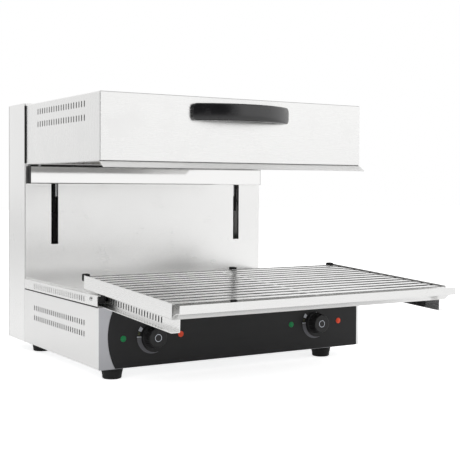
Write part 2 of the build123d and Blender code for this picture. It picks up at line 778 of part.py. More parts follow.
BACK_VENT_FIRST_Z = COLUMN_TOP_Z - BACK_VENT_TOP_DROP
GLAND_X = HALF_WIDTH - GLAND_FROM_SIDE
with BuildPart() as back_cover:
    block(
        upright(BODY_BACK_Y),
        (-HALF_WIDTH, HALF_WIDTH),
        (BASE_BOTTOM_Z, COLUMN_TOP_Z),
        SHEET,
    )
    slots_through(
        upright(BODY_BACK_Y),
        [
            ((i - (BACK_VENT_COUNT - 1) / 2) * BACK_VENT_PITCH, BACK_VENT_FIRST_Z - drop)
            for i in range(BACK_VENT_COUNT)
            for drop in BACK_VENT_DROPS
        ],
        (VENT_WIDTH, BACK_VENT_HEIGHT),
        2 * SHEET,
    )
    bores(rearwards(BODY_BACK_Y - SHEET), COVER_SCREW_PLACES, SCREW_HOLE, SHEET)
    bores(
        rearwards(BODY_BACK_Y - SHEET),
        [(-GLAND_X, GLAND_Z)],
        GLAND_THREAD_DIAMETER + 2 * GAP,
        SHEET,
    )
save(back_cover, "back_cover")

with BuildPart() as cover_screws:
    screws(rearwards(BODY_BACK_Y), COVER_SCREW_PLACES, SCREW_GRIP)
save(cover_screws, "cover_screws")

GLAND_NUT = GLAND_REACH * GLAND_NUT_SHARE
with BuildPart() as cable_gland:
    with BuildSketch(rearwards(BODY_BACK_Y)):
        with Locations((-GLAND_X, GLAND_Z)):
            RegularPolygon(GLAND_DIAMETER / 2, 6)
    extrude(amount=GLAND_NUT)
    rods(
        rearwards(BODY_BACK_Y + GLAND_NUT),
        [(-GLAND_X, GLAND_Z)],
        GLAND_THREAD_DIAMETER,
        GLAND_REACH - GLAND_NUT,
    )
    fillet(cable_gland.edges().group_by(Axis.Y)[-1], BEND)
    rods(
        rearwards(BODY_BACK_Y - SHEET),
        [(-GLAND_X, GLAND_Z)],
        GLAND_THREAD_DIAMETER,
        SHEET,
    )
    with BuildSketch(rearwards(BODY_BACK_Y - SHEET - GLAND_NUT)):
        with Locations((-GLAND_X, GLAND_Z)):
            RegularPolygon(GLAND_DIAMETER / 2, 6)
    extrude(amount=GLAND_NUT)
    bores(
        rearwards(BODY_BACK_Y - SHEET - GLAND_NUT),
        [(-GLAND_X, GLAND_Z)],
        GLAND_BORE,
        SHEET + GLAND_NUT + GLAND_REACH,
    )
save(cable_gland, "cable_gland")

# ------------------------------------------------------------------ lift gear
ROD_PLACES = [(side * SLOT_X, ROD_Y) for side in SIDES.values()]
GAS_PLACES = [(side * GAS_X, BEAM_Y) for side in SIDES.values()]

with BuildPart() as guide_rods:
    rods(level(ROD_BOTTOM), ROD_PLACES, ROD_DIAMETER, ROD_TOP - ROD_BOTTOM)
save(guide_rods, "guide_rods")

with BuildPart() as rod_brackets:
    for bracket_z in (ROD_BOTTOM - BRACKET_CAP, ROD_TOP + BRACKET_CAP - BRACKET_HEIGHT):
        for rod_x, rod_y in ROD_PLACES:
            block(
                level(bracket_z),
                (rod_x - BRACKET_WIDTH / 2, rod_x + BRACKET_WIDTH / 2),
                (COLUMN_FRONT_Y + SHEET, rod_y + BRACKET_WIDTH / 2),
                BRACKET_HEIGHT,
            )
    bores(
        level(ROD_BOTTOM),
        ROD_PLACES,
        ROD_DIAMETER + 2 * RUNNING,
        ROD_TOP - ROD_BOTTOM,
    )
save(rod_brackets, "rod_brackets")

GAS_BORE = GAS_CYLINDER_DIAMETER - 2 * GAS_CYLINDER_WALL
with BuildPart() as gas_cylinders:
    rods(level(GAS_CYLINDER_BOTTOM), GAS_PLACES, GAS_CYLINDER_DIAMETER, GAS_CYLINDER_LENGTH)
    rods(
        level(INSIDE_FLOOR_Z),
        GAS_PLACES,
        GAS_CUP_DIAMETER,
        GAS_CYLINDER_BOTTOM - INSIDE_FLOOR_Z,
    )
    bores(
        level(GAS_CYLINDER_BOTTOM + GAS_END_WALL),
        GAS_PLACES,
        GAS_BORE,
        GAS_CYLINDER_LENGTH - 2 * GAS_END_WALL,
    )
    bores(
        level(GAS_CYLINDER_BOTTOM + GAS_END_WALL),
        GAS_PLACES,
        GAS_ROD_DIAMETER + 2 * RUNNING,
        GAS_CYLINDER_LENGTH,
    )
save(gas_cylinders, "gas_cylinders")

PISTON_TOP = GAS_CYLINDER_TOP - GAS_END
with BuildPart() as gas_rods:
    rods(
        level(PISTON_TOP - GAS_PISTON),
        GAS_PLACES,
        GAS_BORE - 2 * RUNNING,
        GAS_PISTON,
    )
    rods(level(PISTON_TOP), GAS_PLACES, GAS_ROD_DIAMETER, BEAM_BOTTOM - PISTON_TOP)
    rods(level(BEAM_BOTTOM - GAS_CUP_LENGTH), GAS_PLACES, GAS_CUP_DIAMETER, GAS_CUP_LENGTH)
save(gas_rods, "gas_rods")

BEAM_END = SLOT_X - ARM_THICKNESS / 2
with BuildPart() as carriage_beam:
    block(
        lengthways(-BEAM_END),
        (ARM_INSIDE_Y, ARM_INSIDE_Y + BEAM_SIZE),
        (BEAM_BOTTOM, BEAM_BOTTOM + BEAM_SIZE),
        2 * BEAM_END,
    )
    fillet(carriage_beam.edges().filter_by(Axis.X), BEND)
    block(
        lengthways(-BEAM_END),
        (ARM_INSIDE_Y + BEAM_WALL, ARM_INSIDE_Y + BEAM_SIZE - BEAM_WALL),
        (BEAM_BOTTOM + BEAM_WALL, BEAM_BOTTOM + BEAM_SIZE - BEAM_WALL),
        2 * BEAM_END,
        mode=Mode.SUBTRACT,
    )
save(carriage_beam, "carriage_beam")

BUSH_DIAMETER = ROD_DIAMETER + 2 * BUSH_WALL
BUSH_BOTTOMS = (ARM_BOTTOM, ARM_TOP - BUSH_LENGTH)
ARM_SCREW_Z = (ARM_PAD_BOTTOM + ARM_SCREW_END, ARM_TOP - ARM_SCREW_END)
ARM_SCREW_PLACES = [
    (side * SLOT_X + offset, z)
    for side in SIDES.values()
    for offset in (-ARM_SCREW_SPREAD, ARM_SCREW_SPREAD)
    for z in ARM_SCREW_Z
]
for side_name, side in SIDES.items():
    arm_x = side * SLOT_X
    plate_x = (arm_x - ARM_THICKNESS / 2, arm_x + ARM_THICKNESS / 2)
    with BuildPart() as lift_arm:
        block(
            level(ARM_PAD_BOTTOM),
            (arm_x - ARM_PAD_WIDTH / 2, arm_x + ARM_PAD_WIDTH / 2),
            (HEAD_BACK_Y, HEAD_BACK_Y + ARM_PAD_THICKNESS),
            ARM_TOP - ARM_PAD_BOTTOM,
        )
        bores(
            rearwards(HEAD_BACK_Y),
            [(-x, z) for x, z in ARM_SCREW_PLACES],
            SCREW_HOLE,
            ARM_PAD_THICKNESS,
        )
        block(
            level(ARM_PAD_BOTTOM),
            plate_x,
            (HEAD_BACK_Y + ARM_PAD_THICKNESS, ARM_INSIDE_Y),
            ARM_TOP - ARM_PAD_BOTTOM,
        )
        block(
            level(ARM_BOTTOM),
            plate_x,
            (ARM_INSIDE_Y, ROD_Y - BUSH_DIAMETER / 2 - GAP),
            ARM_TOP - ARM_BOTTOM,
        )
        for bush_z in BUSH_BOTTOMS:
            rods(
                level(bush_z),
                [(arm_x, ROD_Y)],
                BUSH_DIAMETER + 2 * HOUSING_WALL,
                BUSH_LENGTH,
            )
            bores(level(bush_z), [(arm_x, ROD_Y)], BUSH_DIAMETER, BUSH_LENGTH)
    save(lift_arm, f"lift_arm_{side_name}")

with BuildPart() as guide_bushes:
    for bush_z in BUSH_BOTTOMS:
        rods(level(bush_z), ROD_PLACES, BUSH_DIAMETER, BUSH_LENGTH)
        bores(level(bush_z), ROD_PLACES, ROD_DIAMETER + 2 * RUNNING, BUSH_LENGTH)
save(guide_bushes, "guide_bushes")

# ------------------------------------------------------------------ head
HEAD_HALF = HEAD_WIDTH / 2
HANDLE_Z = HEAD_TOP_Z - HANDLE_CENTRE_DROP
HANDLE_SCREW_X = HANDLE_LENGTH / 2 - HANDLE_FOOT / 2
HANDLE_SCREW_PLACES = [(-HANDLE_SCREW_X, HANDLE_Z), (HANDLE_SCREW_X, HANDLE_Z)]
CASING_BACK_Y = HEAD_BACK_Y - HEAD_SHEET

with BuildPart() as head_casing:
    block(
        level(HEAD_BOTTOM_Z),
        (-HEAD_HALF, HEAD_HALF),
        (BODY_FRONT_Y, HEAD_BACK_Y),
        HEAD_HEIGHT,
    )
    fillet(
        head_casing.edges().filter_by(Axis.X).group_by(Axis.Z)[-1].group_by(Axis.Y)[0]
        + head_casing.edges().filter_by(Axis.Y).group_by(Axis.Z)[-1]
        + head_casing.edges().filter_by(Axis.Z).group_by(Axis.Y)[0],
        BEND,
    )
    offset(
        amount=-HEAD_SHEET,
        openings=[
            head_casing.faces().sort_by(Axis.Z)[0],
            head_casing.faces().sort_by(Axis.Y)[-1],
        ],
    )
    slots_through(
        Plane.YZ,
        [
            (
                BODY_FRONT_Y + HEAD_VENT_START + i * HEAD_VENT_PITCH,
                HEAD_TOP_Z - HEAD_VENT_TOP_DROP - row * HEAD_VENT_ROW_PITCH,
            )
            for i in range(HEAD_VENT_COUNT)
            for row in range(2)
        ],
        (VENT_WIDTH, HEAD_VENT_HEIGHT),
        HEAD_WIDTH,
    )
    bores(
        upright(BODY_FRONT_Y + HEAD_SHEET),
        HANDLE_SCREW_PLACES,
        SCREW_HOLE,
        HEAD_SHEET,
    )
save(head_casing, "head_casing")

with BuildPart() as head_back:
    block(
        upright(HEAD_BACK_Y),
        (HEAD_SHEET - HEAD_HALF, HEAD_HALF - HEAD_SHEET),
        (HEAD_BOTTOM_Z, HEAD_TOP_Z - HEAD_SHEET),
        HEAD_SHEET,
    )
    fillet(head_back.edges().filter_by(Axis.Y).group_by(Axis.Z)[-1], BEND - HEAD_SHEET)
    bores(upright(HEAD_BACK_Y), ARM_SCREW_PLACES, SCREW_HOLE, HEAD_SHEET)
save(head_back, "head_back")

with BuildPart() as arm_screws:
    screws(upright(CASING_BACK_Y), ARM_SCREW_PLACES, HEAD_SHEET + ARM_PAD_THICKNESS - GAP)
save(arm_screws, "arm_screws")

OPENING_X = HEAD_HALF - FRAME_BORDER
OPENING_Y = (BODY_FRONT_Y + FRAME_BORDER, HEAD_BACK_Y - FRAME_REAR_BORDER)
LIP_TOP_Y = BODY_FRONT_Y + LIP_SETBACK
FRAME_MID_Z = FRAME_BOTTOM_Z + MID
CROSSBAR_SCREW_X = [
    (i - (CROSSBAR_SCREWS - 1) / 2) * CROSSBAR_SCREW_PITCH for i in range(CROSSBAR_SCREWS)
]
CROSSBAR_BACK_Y = COLUMN_FRONT_Y - CROSSBAR_TO_COLUMN
CROSSBAR_FRONT_Y = CROSSBAR_BACK_Y - CROSSBAR_DEPTH
CROSSBAR_SCREW_Y = CROSSBAR_FRONT_Y + CROSSBAR_SCREW_SETBACK
CROSSBAR_SCREW_PLACES = [(x, CROSSBAR_SCREW_Y) for x in CROSSBAR_SCREW_X]

with BuildPart() as head_frame:
    block(
        level(FRAME_BOTTOM_Z),
        (-HEAD_HALF, HEAD_HALF),
        (LIP_TOP_Y, HEAD_BACK_Y),
        SHEET,
    )
    block(
        level(FRAME_BOTTOM_Z),
        (-OPENING_X, OPENING_X),
        OPENING_Y,
        SHEET,
        mode=Mode.SUBTRACT,
    )
    folded(
        lengthways(-HEAD_HALF),
        [
            (LIP_TOP_Y + FRAME_BORDER / 2, FRAME_MID_Z),
            (LIP_TOP_Y, FRAME_MID_Z),
            (BODY_FRONT_Y - LIP_REACH, FRAME_MID_Z - LIP_DROP),
        ],
        SHEET,
        HEAD_WIDTH,
    )
    bores(level(FRAME_BOTTOM_Z), CROSSBAR_SCREW_PLACES, SCREW_HOLE, SHEET)
save(head_frame, "head_frame")

REFLECTOR_X = OPENING_X + REFLECTOR_LAP
REFLECTOR_Y = (OPENING_Y[0] - REFLECTOR_LAP, OPENING_Y[1] + REFLECTOR_LAP)
REFLECTOR_MID_Y = sum(OPENING_Y) / 2
REFLECTOR_DEPTH_Y = REFLECTOR_Y[1] - REFLECTOR_Y[0]
REFLECTOR_TOP_Z = HEAD_BOTTOM_Z + REFLECTOR_DEPTH
ELEMENT_Z = HEAD_BOTTOM_Z + ELEMENT_DROP
ELEMENT_OUTER = ELEMENT_GAP / 2 + ELEMENT_LENGTH
ELEMENT_FIRST_Y = REFLECTOR_MID_Y - (ELEMENT_RUNS - 1) / 2 * ELEMENT_PITCH
ELEMENT_RUN_Y = [ELEMENT_FIRST_Y + i * ELEMENT_PITCH for i in range(ELEMENT_RUNS)]
ELEMENT_END_PLACES = [
    (side * ELEMENT_OUTER, y)
    for side in SIDES.values()
    for y in (ELEMENT_RUN_Y[0], ELEMENT_RUN_Y[-1])
]
ELEMENT_HOLE = ELEMENT_DIAMETER + 2 * RUNNING

with BuildPart() as reflector:
    with BuildSketch(level(HEAD_BOTTOM_Z)):
        with Locations((0, REFLECTOR_MID_Y)):
            Rectangle(2 * REFLECTOR_X, REFLECTOR_DEPTH_Y)
    with BuildSketch(level(REFLECTOR_TOP_Z)):
        with Locations((0, REFLECTOR_MID_Y)):
            Rectangle(
                2 * (REFLECTOR_X - REFLECTOR_TAPER),
                REFLECTOR_DEPTH_Y - 2 * REFLECTOR_TAPER,
            )
    loft()
    offset(amount=-SHEET, openings=reflector.faces().sort_by(Axis.Z)[0])
    with BuildSketch(level(HEAD_BOTTOM_Z)) as reflector_rim:
        with Locations((0, REFLECTOR_MID_Y)):
            Rectangle(2 * (REFLECTOR_X + REFLECTOR_RIM), REFLECTOR_DEPTH_Y + 2 * REFLECTOR_RIM)
            Rectangle(
                2 * (REFLECTOR_X - SHEET),
                REFLECTOR_DEPTH_Y - 2 * SHEET,
                mode=Mode.SUBTRACT,
            )
    extrude(reflector_rim.sketch, amount=SHEET)
    bores(level(ELEMENT_Z), ELEMENT_END_PLACES, ELEMENT_HOLE, REFLECTOR_DEPTH)
save(reflector, "reflector")

with BuildPart() as insulation:
    with BuildSketch(level(REFLECTOR_TOP_Z)):
        with Locations((0, REFLECTOR_MID_Y)):
            Rectangle(
                2 * (REFLECTOR_X - REFLECTOR_TAPER),
                REFLECTOR_DEPTH_Y - 2 * REFLECTOR_TAPER,
            )
    extrude(amount=INSULATION)
    bores(level(REFLECTOR_TOP_Z), ELEMENT_END_PLACES, ELEMENT_HOLE, INSULATION)
save(insulation, "insulation")

ELEMENT_END_Z = REFLECTOR_TOP_Z + INSULATION + ELEMENT_STUB
for side_name, side in SIDES.items():
    element_inner = side * ELEMENT_GAP / 2
    element_outer = side * ELEMENT_OUTER
    route = [(element_outer, ELEMENT_RUN_Y[0], ELEMENT_END_Z)]
    for i, run_y in enumerate(ELEMENT_RUN_Y):
        run_ends = [(element_outer, run_y, ELEMENT_Z), (element_inner, run_y, ELEMENT_Z)]
        route += run_ends if i % 2 == 0 else reversed(run_ends)
    route.append((element_outer, ELEMENT_RUN_Y[-1], ELEMENT_END_Z))
    flat_bends = [ELEMENT_BEND] * (2 * ELEMENT_RUNS - 2)
    with BuildPart() as heating_element:
        with BuildLine() as element_path:
            FilletPolyline(*route, radius=[ELEMENT_END_BEND, *flat_bends, ELEMENT_END_BEND])
        with BuildSketch(Plane(element_path.line @ 0, z_dir=element_path.line % 0)):
            Circle(ELEMENT_DIAMETER / 2)
        sweep(path=element_path.line)
    save(heating_element, f"heating_element_{side_name}")

COMB_BOTTOM_Z = ELEMENT_Z - ELEMENT_DIAMETER
with BuildPart() as element_combs:
    for side in SIDES.values():
        for inset in COMB_INSETS:
            comb_x = side * (ELEMENT_GAP / 2 + inset)
            block(
                lengthways(comb_x),
                (
                    ELEMENT_RUN_Y[0] - ELEMENT_DIAMETER,
                    ELEMENT_RUN_Y[-1] + ELEMENT_DIAMETER,
                ),
                (COMB_BOTTOM_Z, REFLECTOR_TOP_Z - SHEET),
                COMB_THICKNESS,
            )
            bores(
                lengthways(comb_x),
                [(y, ELEMENT_Z) for y in ELEMENT_RUN_Y],
                ELEMENT_HOLE,
                COMB_THICKNESS,
            )
save(element_combs, "element_combs")

HANDLE_HALF = HANDLE_LENGTH / 2
POCKET_HALF = HANDLE_HALF - HANDLE_FOOT
HANDLE_END_Y = BODY_FRONT_Y - HANDLE_END_REACH
HANDLE_FRONT_Y = BODY_FRONT_Y - HANDLE_REACH
POCKET_END_Y = BODY_FRONT_Y - HANDLE_POCKET_END
with BuildPart() as handle:
    with BuildSketch(level(HANDLE_Z - HANDLE_HEIGHT / 2)) as bow:
        with BuildLine():
            ThreePointArc(
                (-HANDLE_HALF, HANDLE_END_Y),
                (0, HANDLE_FRONT_Y),
                (HANDLE_HALF, HANDLE_END_Y),
            )
            Polyline(
                (HANDLE_HALF, HANDLE_END_Y),
                (HANDLE_HALF, BODY_FRONT_Y),
                (-HANDLE_HALF, BODY_FRONT_Y),
                (-HANDLE_HALF, HANDLE_END_Y),
            )
        make_face()
        with BuildLine():
            ThreePointArc(
                (-POCKET_HALF, POCKET_END_Y),
                (0, HANDLE_FRONT_Y + HANDLE_THICKNESS),
                (POCKET_HALF, POCKET_END_Y),
            )
            Polyline(
                (POCKET_HALF, POCKET_END_Y),
                (POCKET_HALF, BODY_FRONT_Y),
                (-POCKET_HALF, BODY_FRONT_Y),
                (-POCKET_HALF, POCKET_END_Y),
            )
        make_face(mode=Mode.SUBTRACT)
    extrude(bow.sketch, amount=HANDLE_HEIGHT)
    with BuildSketch(upright(BODY_FRONT_Y)) as handle_outline:
        with Locations((0, HANDLE_Z)):
            RectangleRounded(HANDLE_LENGTH, HANDLE_HEIGHT, HANDLE_CORNER)
    extrude(handle_outline.sketch, amount=HANDLE_REACH, mode=Mode.INTERSECT)
    fillet(handle.faces().sort_by(Axis.Y)[0].edges(), HANDLE_EDGE)
    bores(
        upright(BODY_FRONT_Y),
        HANDLE_SCREW_PLACES,
        SCREW_DIAMETER,
        SCREW_GRIP + GAP,
    )
save(handle, "handle")

with BuildPart() as handle_screws:
    screws(
        rearwards(BODY_FRONT_Y + HEAD_SHEET),
        HANDLE_SCREW_PLACES,
        HEAD_SHEET + SCREW_GRIP,
    )
save(handle_screws, "handle_screws")

CROSSBAR_TOP_Z = FRAME_BOTTOM_Z - CROSSBAR_GAP
CROSSBAR_HALF = HALF_WIDTH - CROSSBAR_END_INSET
with BuildPart() as crossbar:
    folded(
        lengthways(-CROSSBAR_HALF),
        [
            (CROSSBAR_BACK_Y, CROSSBAR_TOP_Z - MID),
            (CROSSBAR_FRONT_Y + MID, CROSSBAR_TOP_Z - MID),
            (CROSSBAR_FRONT_Y + MID, CROSSBAR_TOP_Z - CROSSBAR_HEIGHT + MID),
            (CROSSBAR_BACK_Y, CROSSBAR_TOP_Z - CROSSBAR_HEIGHT + MID),
        ],
        SHEET,
        2 * CROSSBAR_HALF,
    )
    for end_x in (-CROSSBAR_HALF, CROSSBAR_HALF - SHEET):
        block(
            lengthways(end_x),
            (CROSSBAR_FRONT_Y + MID, CROSSBAR_BACK_Y),
            (CROSSBAR_TOP_Z - CROSSBAR_HEIGHT + MID, CROSSBAR_TOP_Z - MID),
            SHEET,
        )
    bores(level(CROSSBAR_TOP_Z - SHEET), CROSSBAR_SCREW_PLACES, SCREW_HOLE, SHEET)
save(crossbar, "crossbar")

with BuildPart() as crossbar_screws:
    rods(level(CROSSBAR_TOP_Z), CROSSBAR_SCREW_PLACES, SCREW_HEAD_DIAMETER, CROSSBAR_GAP)
    rods(
        level(CROSSBAR_TOP_Z - SCREW_GRIP),
        CROSSBAR_SCREW_PLACES,
        SCREW_DIAMETER,
        CROSSBAR_GAP + 2 * SCREW_GRIP,
    )
save(crossbar_screws, "crossbar_screws")

# ------------------------------------------------------------------ tray
STEP_TOP = RAIL_UNDERSIDE + SHEET
FRONT_HALF = TRAY_HALF_WIDTH - 2 * SHEET
RAIL_WEB = TRAY_HALF_WIDTH - RAIL_STEP - MID
RAIL_FLANGE_W = RAIL_UNDERSIDE - RAIL_DROP + MID
RAIL_VENT_W = RAIL_UNDERSIDE - RAIL_DROP / 2

GLIDE_TOP = GLIDE_LIFT + GLIDE_THICKNESS
with BuildPart() as front_glides:
    for side in SIDES.values():
        glide_x = side_range(side, HALF_WIDTH - GLIDE_INSET - GLIDE_WIDTH, HALF_WIDTH - GLIDE_INSET)
        with BuildSketch(on_tray(lengthways(glide_x[0]))) as glide_profile:
            with BuildLine():
                CenterArc((0, 0), GLIDE_TOP, QUARTER_TURN, QUARTER_TURN)
                Polyline(
                    (-GLIDE_TOP, 0),
                    (-GLIDE_TOP, -GLIDE_HOOK),
                    (-GAP, -GLIDE_HOOK),
                    (-GAP, GLIDE_LIFT),
                    (GLIDE_LENGTH, GLIDE_LIFT),
                    (GLIDE_LENGTH, GLIDE_TOP),
                    (0, GLIDE_TOP),
                )
            make_face()
        extrude(glide_profile.sketch, amount=GLIDE_WIDTH)
save(front_glides, "front_glides")

for side_name, side in SIDES.items():
    with BuildPart() as tray_rail:
        folded(
            on_tray(upright(TRAY_REAR)),
            [
                (side * (TRAY_HALF_WIDTH - MID), TRAY_SIDE_TOP),
                (side * (TRAY_HALF_WIDTH - MID), RAIL_UNDERSIDE + MID),
                (side * RAIL_WEB, RAIL_UNDERSIDE + MID),
                (side * RAIL_WEB, RAIL_FLANGE_W),
                (side * TRAY_HALF_WIDTH, RAIL_FLANGE_W),
            ],
            SHEET,
            TRAY_LENGTH,
            bend=SHEET,
        )
        slots_through(
            on_tray(lengthways(side * RAIL_WEB)),
            [
                (TRAY_FRONT + RAIL_VENT_SETBACK + i * RAIL_VENT_PITCH, RAIL_VENT_W)
                for i in range(RAIL_VENT_COUNT)
            ],
            (VENT_WIDTH, RUNNER_VENT_HEIGHT),
            2 * SHEET,
        )
    save(tray_rail, f"tray_rail_{side_name}")

RAIL_FLANGE_TOP = RAIL_FLANGE_W + MID
with BuildPart() as rear_glides:
    for side in SIDES.values():
        block(
            on_tray(upright(TRAY_REAR)),
            side_range(side, RAIL_WEB + RAIL_GLIDE_INSET, TRAY_HALF_WIDTH - RAIL_GLIDE_INSET),
            (RAIL_FLANGE_TOP, RAIL_FLANGE_TOP + RAIL_GLIDE_HEIGHT),
            RAIL_GLIDE_LENGTH,
        )
save(rear_glides, "rear_glides")

COVE_START = (TRAY_FRONT, RAIL_UNDERSIDE)
COVE_END = (LIP_FRONT, RAIL_UNDERSIDE + PULL_RISE)
COVE_MIDDLE = (TRAY_FRONT - PULL_REACH * COVE_SHARE, RAIL_UNDERSIDE + PULL_RISE * (1 - COVE_SHARE))
with BuildPart() as tray_front:
    block(
        on_tray(upright(TRAY_FRONT + SHEET)),
        (-FRONT_HALF, FRONT_HALF),
        (STEP_TOP + GAP, RAIL_UNDERSIDE + FRONT_WALL_HEIGHT),
        SHEET,
    )
    block(
        on_tray(upright(TRAY_FRONT + SHEET)),
        (GAP + MID - RAIL_WEB, RAIL_WEB - MID - GAP),
        (RAIL_UNDERSIDE, STEP_TOP + GAP),
        SHEET,
    )
    with BuildSketch(on_tray(lengthways(-TRAY_HALF_WIDTH))) as pull_profile:
        with BuildLine():
            ThreePointArc(COVE_START, COVE_MIDDLE, COVE_END)
            Polyline(
                COVE_END,
                (LIP_FRONT, LIP_TOP),
                (LIP_FRONT + SHEET, LIP_TOP),
                (COVE_END[0] + SHEET, COVE_END[1] + SHEET),
            )
            ThreePointArc(
                (COVE_END[0] + SHEET, COVE_END[1] + SHEET),
                (COVE_MIDDLE[0], COVE_MIDDLE[1] + SHEET),
                (COVE_START[0], COVE_START[1] + SHEET),
            )
            Line((COVE_START[0], COVE_START[1] + SHEET), COVE_START)
        make_face()
    extrude(pull_profile.sketch, amount=2 * TRAY_HALF_WIDTH)
save(tray_front, "tray_front")

with BuildPart() as tray_rear:
    block(
        on_tray(upright(TRAY_REAR)),
        (-FRONT_HALF, FRONT_HALF),
        (STEP_TOP, RAIL_UNDERSIDE + FRONT_WALL_HEIGHT),
        SHEET,
    )
save(tray_rear, "tray_rear")

PAN_BOTTOM_W = RAIL_UNDERSIDE + PAN_FLOOR
PAN_TOP_W = PAN_BOTTOM_W + PAN_HEIGHT
PAN_Y = (TRAY_FRONT + SHEET + GAP, TRAY_REAR - SHEET - GAP)
PAN_X = FRONT_HALF - GAP
with BuildPart() as pan_bearers:
    for bearer_y in (TRAY_FRONT + BEARER_INSET, TRAY_REAR - BEARER_INSET):
        block(
            on_tray(level(STEP_TOP)),
            (-FRONT_HALF, FRONT_HALF),
            (bearer_y - BEARER_WIDTH / 2, bearer_y + BEARER_WIDTH / 2),
            PAN_BOTTOM_W - STEP_TOP,
        )
        block(
            on_tray(level(STEP_TOP)),
            (-FRONT_HALF, FRONT_HALF),
            (bearer_y - BEARER_WIDTH / 2 + SHEET, bearer_y + BEARER_WIDTH / 2 - SHEET),
            PAN_BOTTOM_W - STEP_TOP - SHEET,
            mode=Mode.SUBTRACT,
        )
save(pan_bearers, "pan_bearers")


def pan_layer(bottom, inset, height, mode=Mode.ADD):
    """Rounded slab with the pan's outline, drawn in by an inset."""
    with BuildSketch(on_tray(level(bottom))) as outline:
        with Locations((0, sum(PAN_Y) / 2)):
            RectangleRounded(
                2 * (PAN_X - inset),
                PAN_Y[1] - PAN_Y[0] - 2 * inset,
                PAN_CORNER - inset,
            )
    extrude(outline.sketch, amount=height, mode=mode)


with BuildPart() as drip_pan:
    pan_layer(PAN_BOTTOM_W, 0, PAN_HEIGHT)
    pan_layer(
        PAN_BOTTOM_W + PAN_SHEET, PAN_SHEET, PAN_HEIGHT - 2 * PAN_SHEET, Mode.SUBTRACT
    )
    pan_layer(PAN_TOP_W - PAN_SHEET, PAN_RIM, PAN_SHEET, Mode.SUBTRACT)
save(drip_pan, "drip_pan")

BUFFER_BOTTOM_W = RAIL_UNDERSIDE + BUFFER_BASE
BUFFER_OUTER_X = TRAY_HALF_WIDTH - BUFFER_WIDTH / 2
CLIP_X = HALF_WIDTH - CLIP_FROM_SIDE
WALL_TOP_W = RAIL_UNDERSIDE + FRONT_WALL_HEIGHT
WALL_MID = TRAY_FRONT + MID
with BuildPart() as tray_buffers:
    for buffer_x in (-BUFFER_OUTER_X, BUFFER_MID_X, BUFFER_OUTER_X):
        block(
            on_tray(upright(TRAY_REAR + BUFFER_LENGTH)),
            (buffer_x - BUFFER_WIDTH / 2, buffer_x + BUFFER_WIDTH / 2),
            (BUFFER_BOTTOM_W, BUFFER_BOTTOM_W + BUFFER_HEIGHT),
            BUFFER_LENGTH,
        )
    block(
        on_tray(level(WALL_TOP_W + CLIP_CAP - CLIP_HEIGHT)),
        (-CLIP_X - CLIP_WIDTH / 2, CLIP_WIDTH / 2 - CLIP_X),
        (WALL_MID - CLIP_LENGTH / 2, WALL_MID + CLIP_LENGTH / 2),
        CLIP_HEIGHT,
    )
    block(
        on_tray(upright(TRAY_FRONT + SHEET)),
        (-FRONT_HALF, FRONT_HALF),
        (RAIL_UNDERSIDE, WALL_TOP_W),
        SHEET,
        mode=Mode.SUBTRACT,
    )
save(tray_buffers, "tray_buffers")

# ------------------------------------------------------------------ cooking grid
GRID_BOTTOM_W = PAN_TOP_W + GAP
GRID_HALF = PAN_X - GRID_SIDE_GAP
GRID_Y = (PAN_Y[0] + GRID_SIDE_GAP, PAN_Y[1] - GRID_SIDE_GAP)
STRAP_X = GRID_HALF - GRID_STRAP_WIDTH / 2 - GRID_BAR_THICKNESS
with BuildPart() as cooking_grid:
    for strap_x in (-STRAP_X, 0, STRAP_X):
        block(
            on_tray(level(GRID_BOTTOM_W)),
            (strap_x - GRID_STRAP_WIDTH / 2, strap_x + GRID_STRAP_WIDTH / 2),
            GRID_Y,
            GRID_STRAP_THICKNESS,
        )
    with BuildSketch(on_tray(level(GRID_BOTTOM_W + GRID_STRAP_THICKNESS))) as bars:
        with Locations((0, sum(GRID_Y) / 2)):
            with GridLocations(1, GRID_BAR_PITCH, 1, GRID_BAR_COUNT):
                Rectangle(2 * GRID_HALF, GRID_BAR_WIDTH)
    extrude(bars.sketch, amount=GRID_BAR_THICKNESS)
save(cooking_grid, "cooking_grid")
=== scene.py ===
import math

import bmesh
import bpy
from bpy.props import FloatProperty, FloatVectorProperty, IntProperty, PointerProperty
from bpy.types import Operator, Panel, PropertyGroup
from mathutils import Matrix, Vector, noise


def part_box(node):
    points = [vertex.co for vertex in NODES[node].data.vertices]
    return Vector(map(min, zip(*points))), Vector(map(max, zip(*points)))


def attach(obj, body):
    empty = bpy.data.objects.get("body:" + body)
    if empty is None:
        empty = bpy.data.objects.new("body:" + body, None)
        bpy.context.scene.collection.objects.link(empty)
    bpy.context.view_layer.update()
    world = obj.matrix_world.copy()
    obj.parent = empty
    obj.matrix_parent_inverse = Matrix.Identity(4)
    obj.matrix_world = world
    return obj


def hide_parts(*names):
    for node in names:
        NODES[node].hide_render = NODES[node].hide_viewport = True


bl_info = {
    "name": "Cheese melter finish",
    "version": (1, 0, 0),
    "blender": (4, 5, 0),
    "location": "View3D > Sidebar > Cheese melter",
    "description": "Dresses the packed cheese melter with its detailed pieces and finishes",
    "category": "Object",
}

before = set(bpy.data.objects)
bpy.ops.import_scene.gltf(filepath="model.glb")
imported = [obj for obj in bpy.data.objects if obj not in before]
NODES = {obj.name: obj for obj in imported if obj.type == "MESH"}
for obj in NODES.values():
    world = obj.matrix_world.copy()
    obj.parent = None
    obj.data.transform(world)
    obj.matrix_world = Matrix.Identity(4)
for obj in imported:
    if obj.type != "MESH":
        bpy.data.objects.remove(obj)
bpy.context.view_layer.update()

# Pieces are modelled in millimetres, and made() turns them into metres. The stage and the finishes
# are in metres.
MM = 0.001
SEGMENTS = 64
FULL_TURN = 2 * math.pi
QUARTER_TURN = math.pi / 2
FORWARDS = (0, -1, 0)
BACKWARDS = (0, 1, 0)
UPWARDS = (0, 0, 1)
DOWNWARDS = (0, 0, -1)
SIDES = (-1, 1)


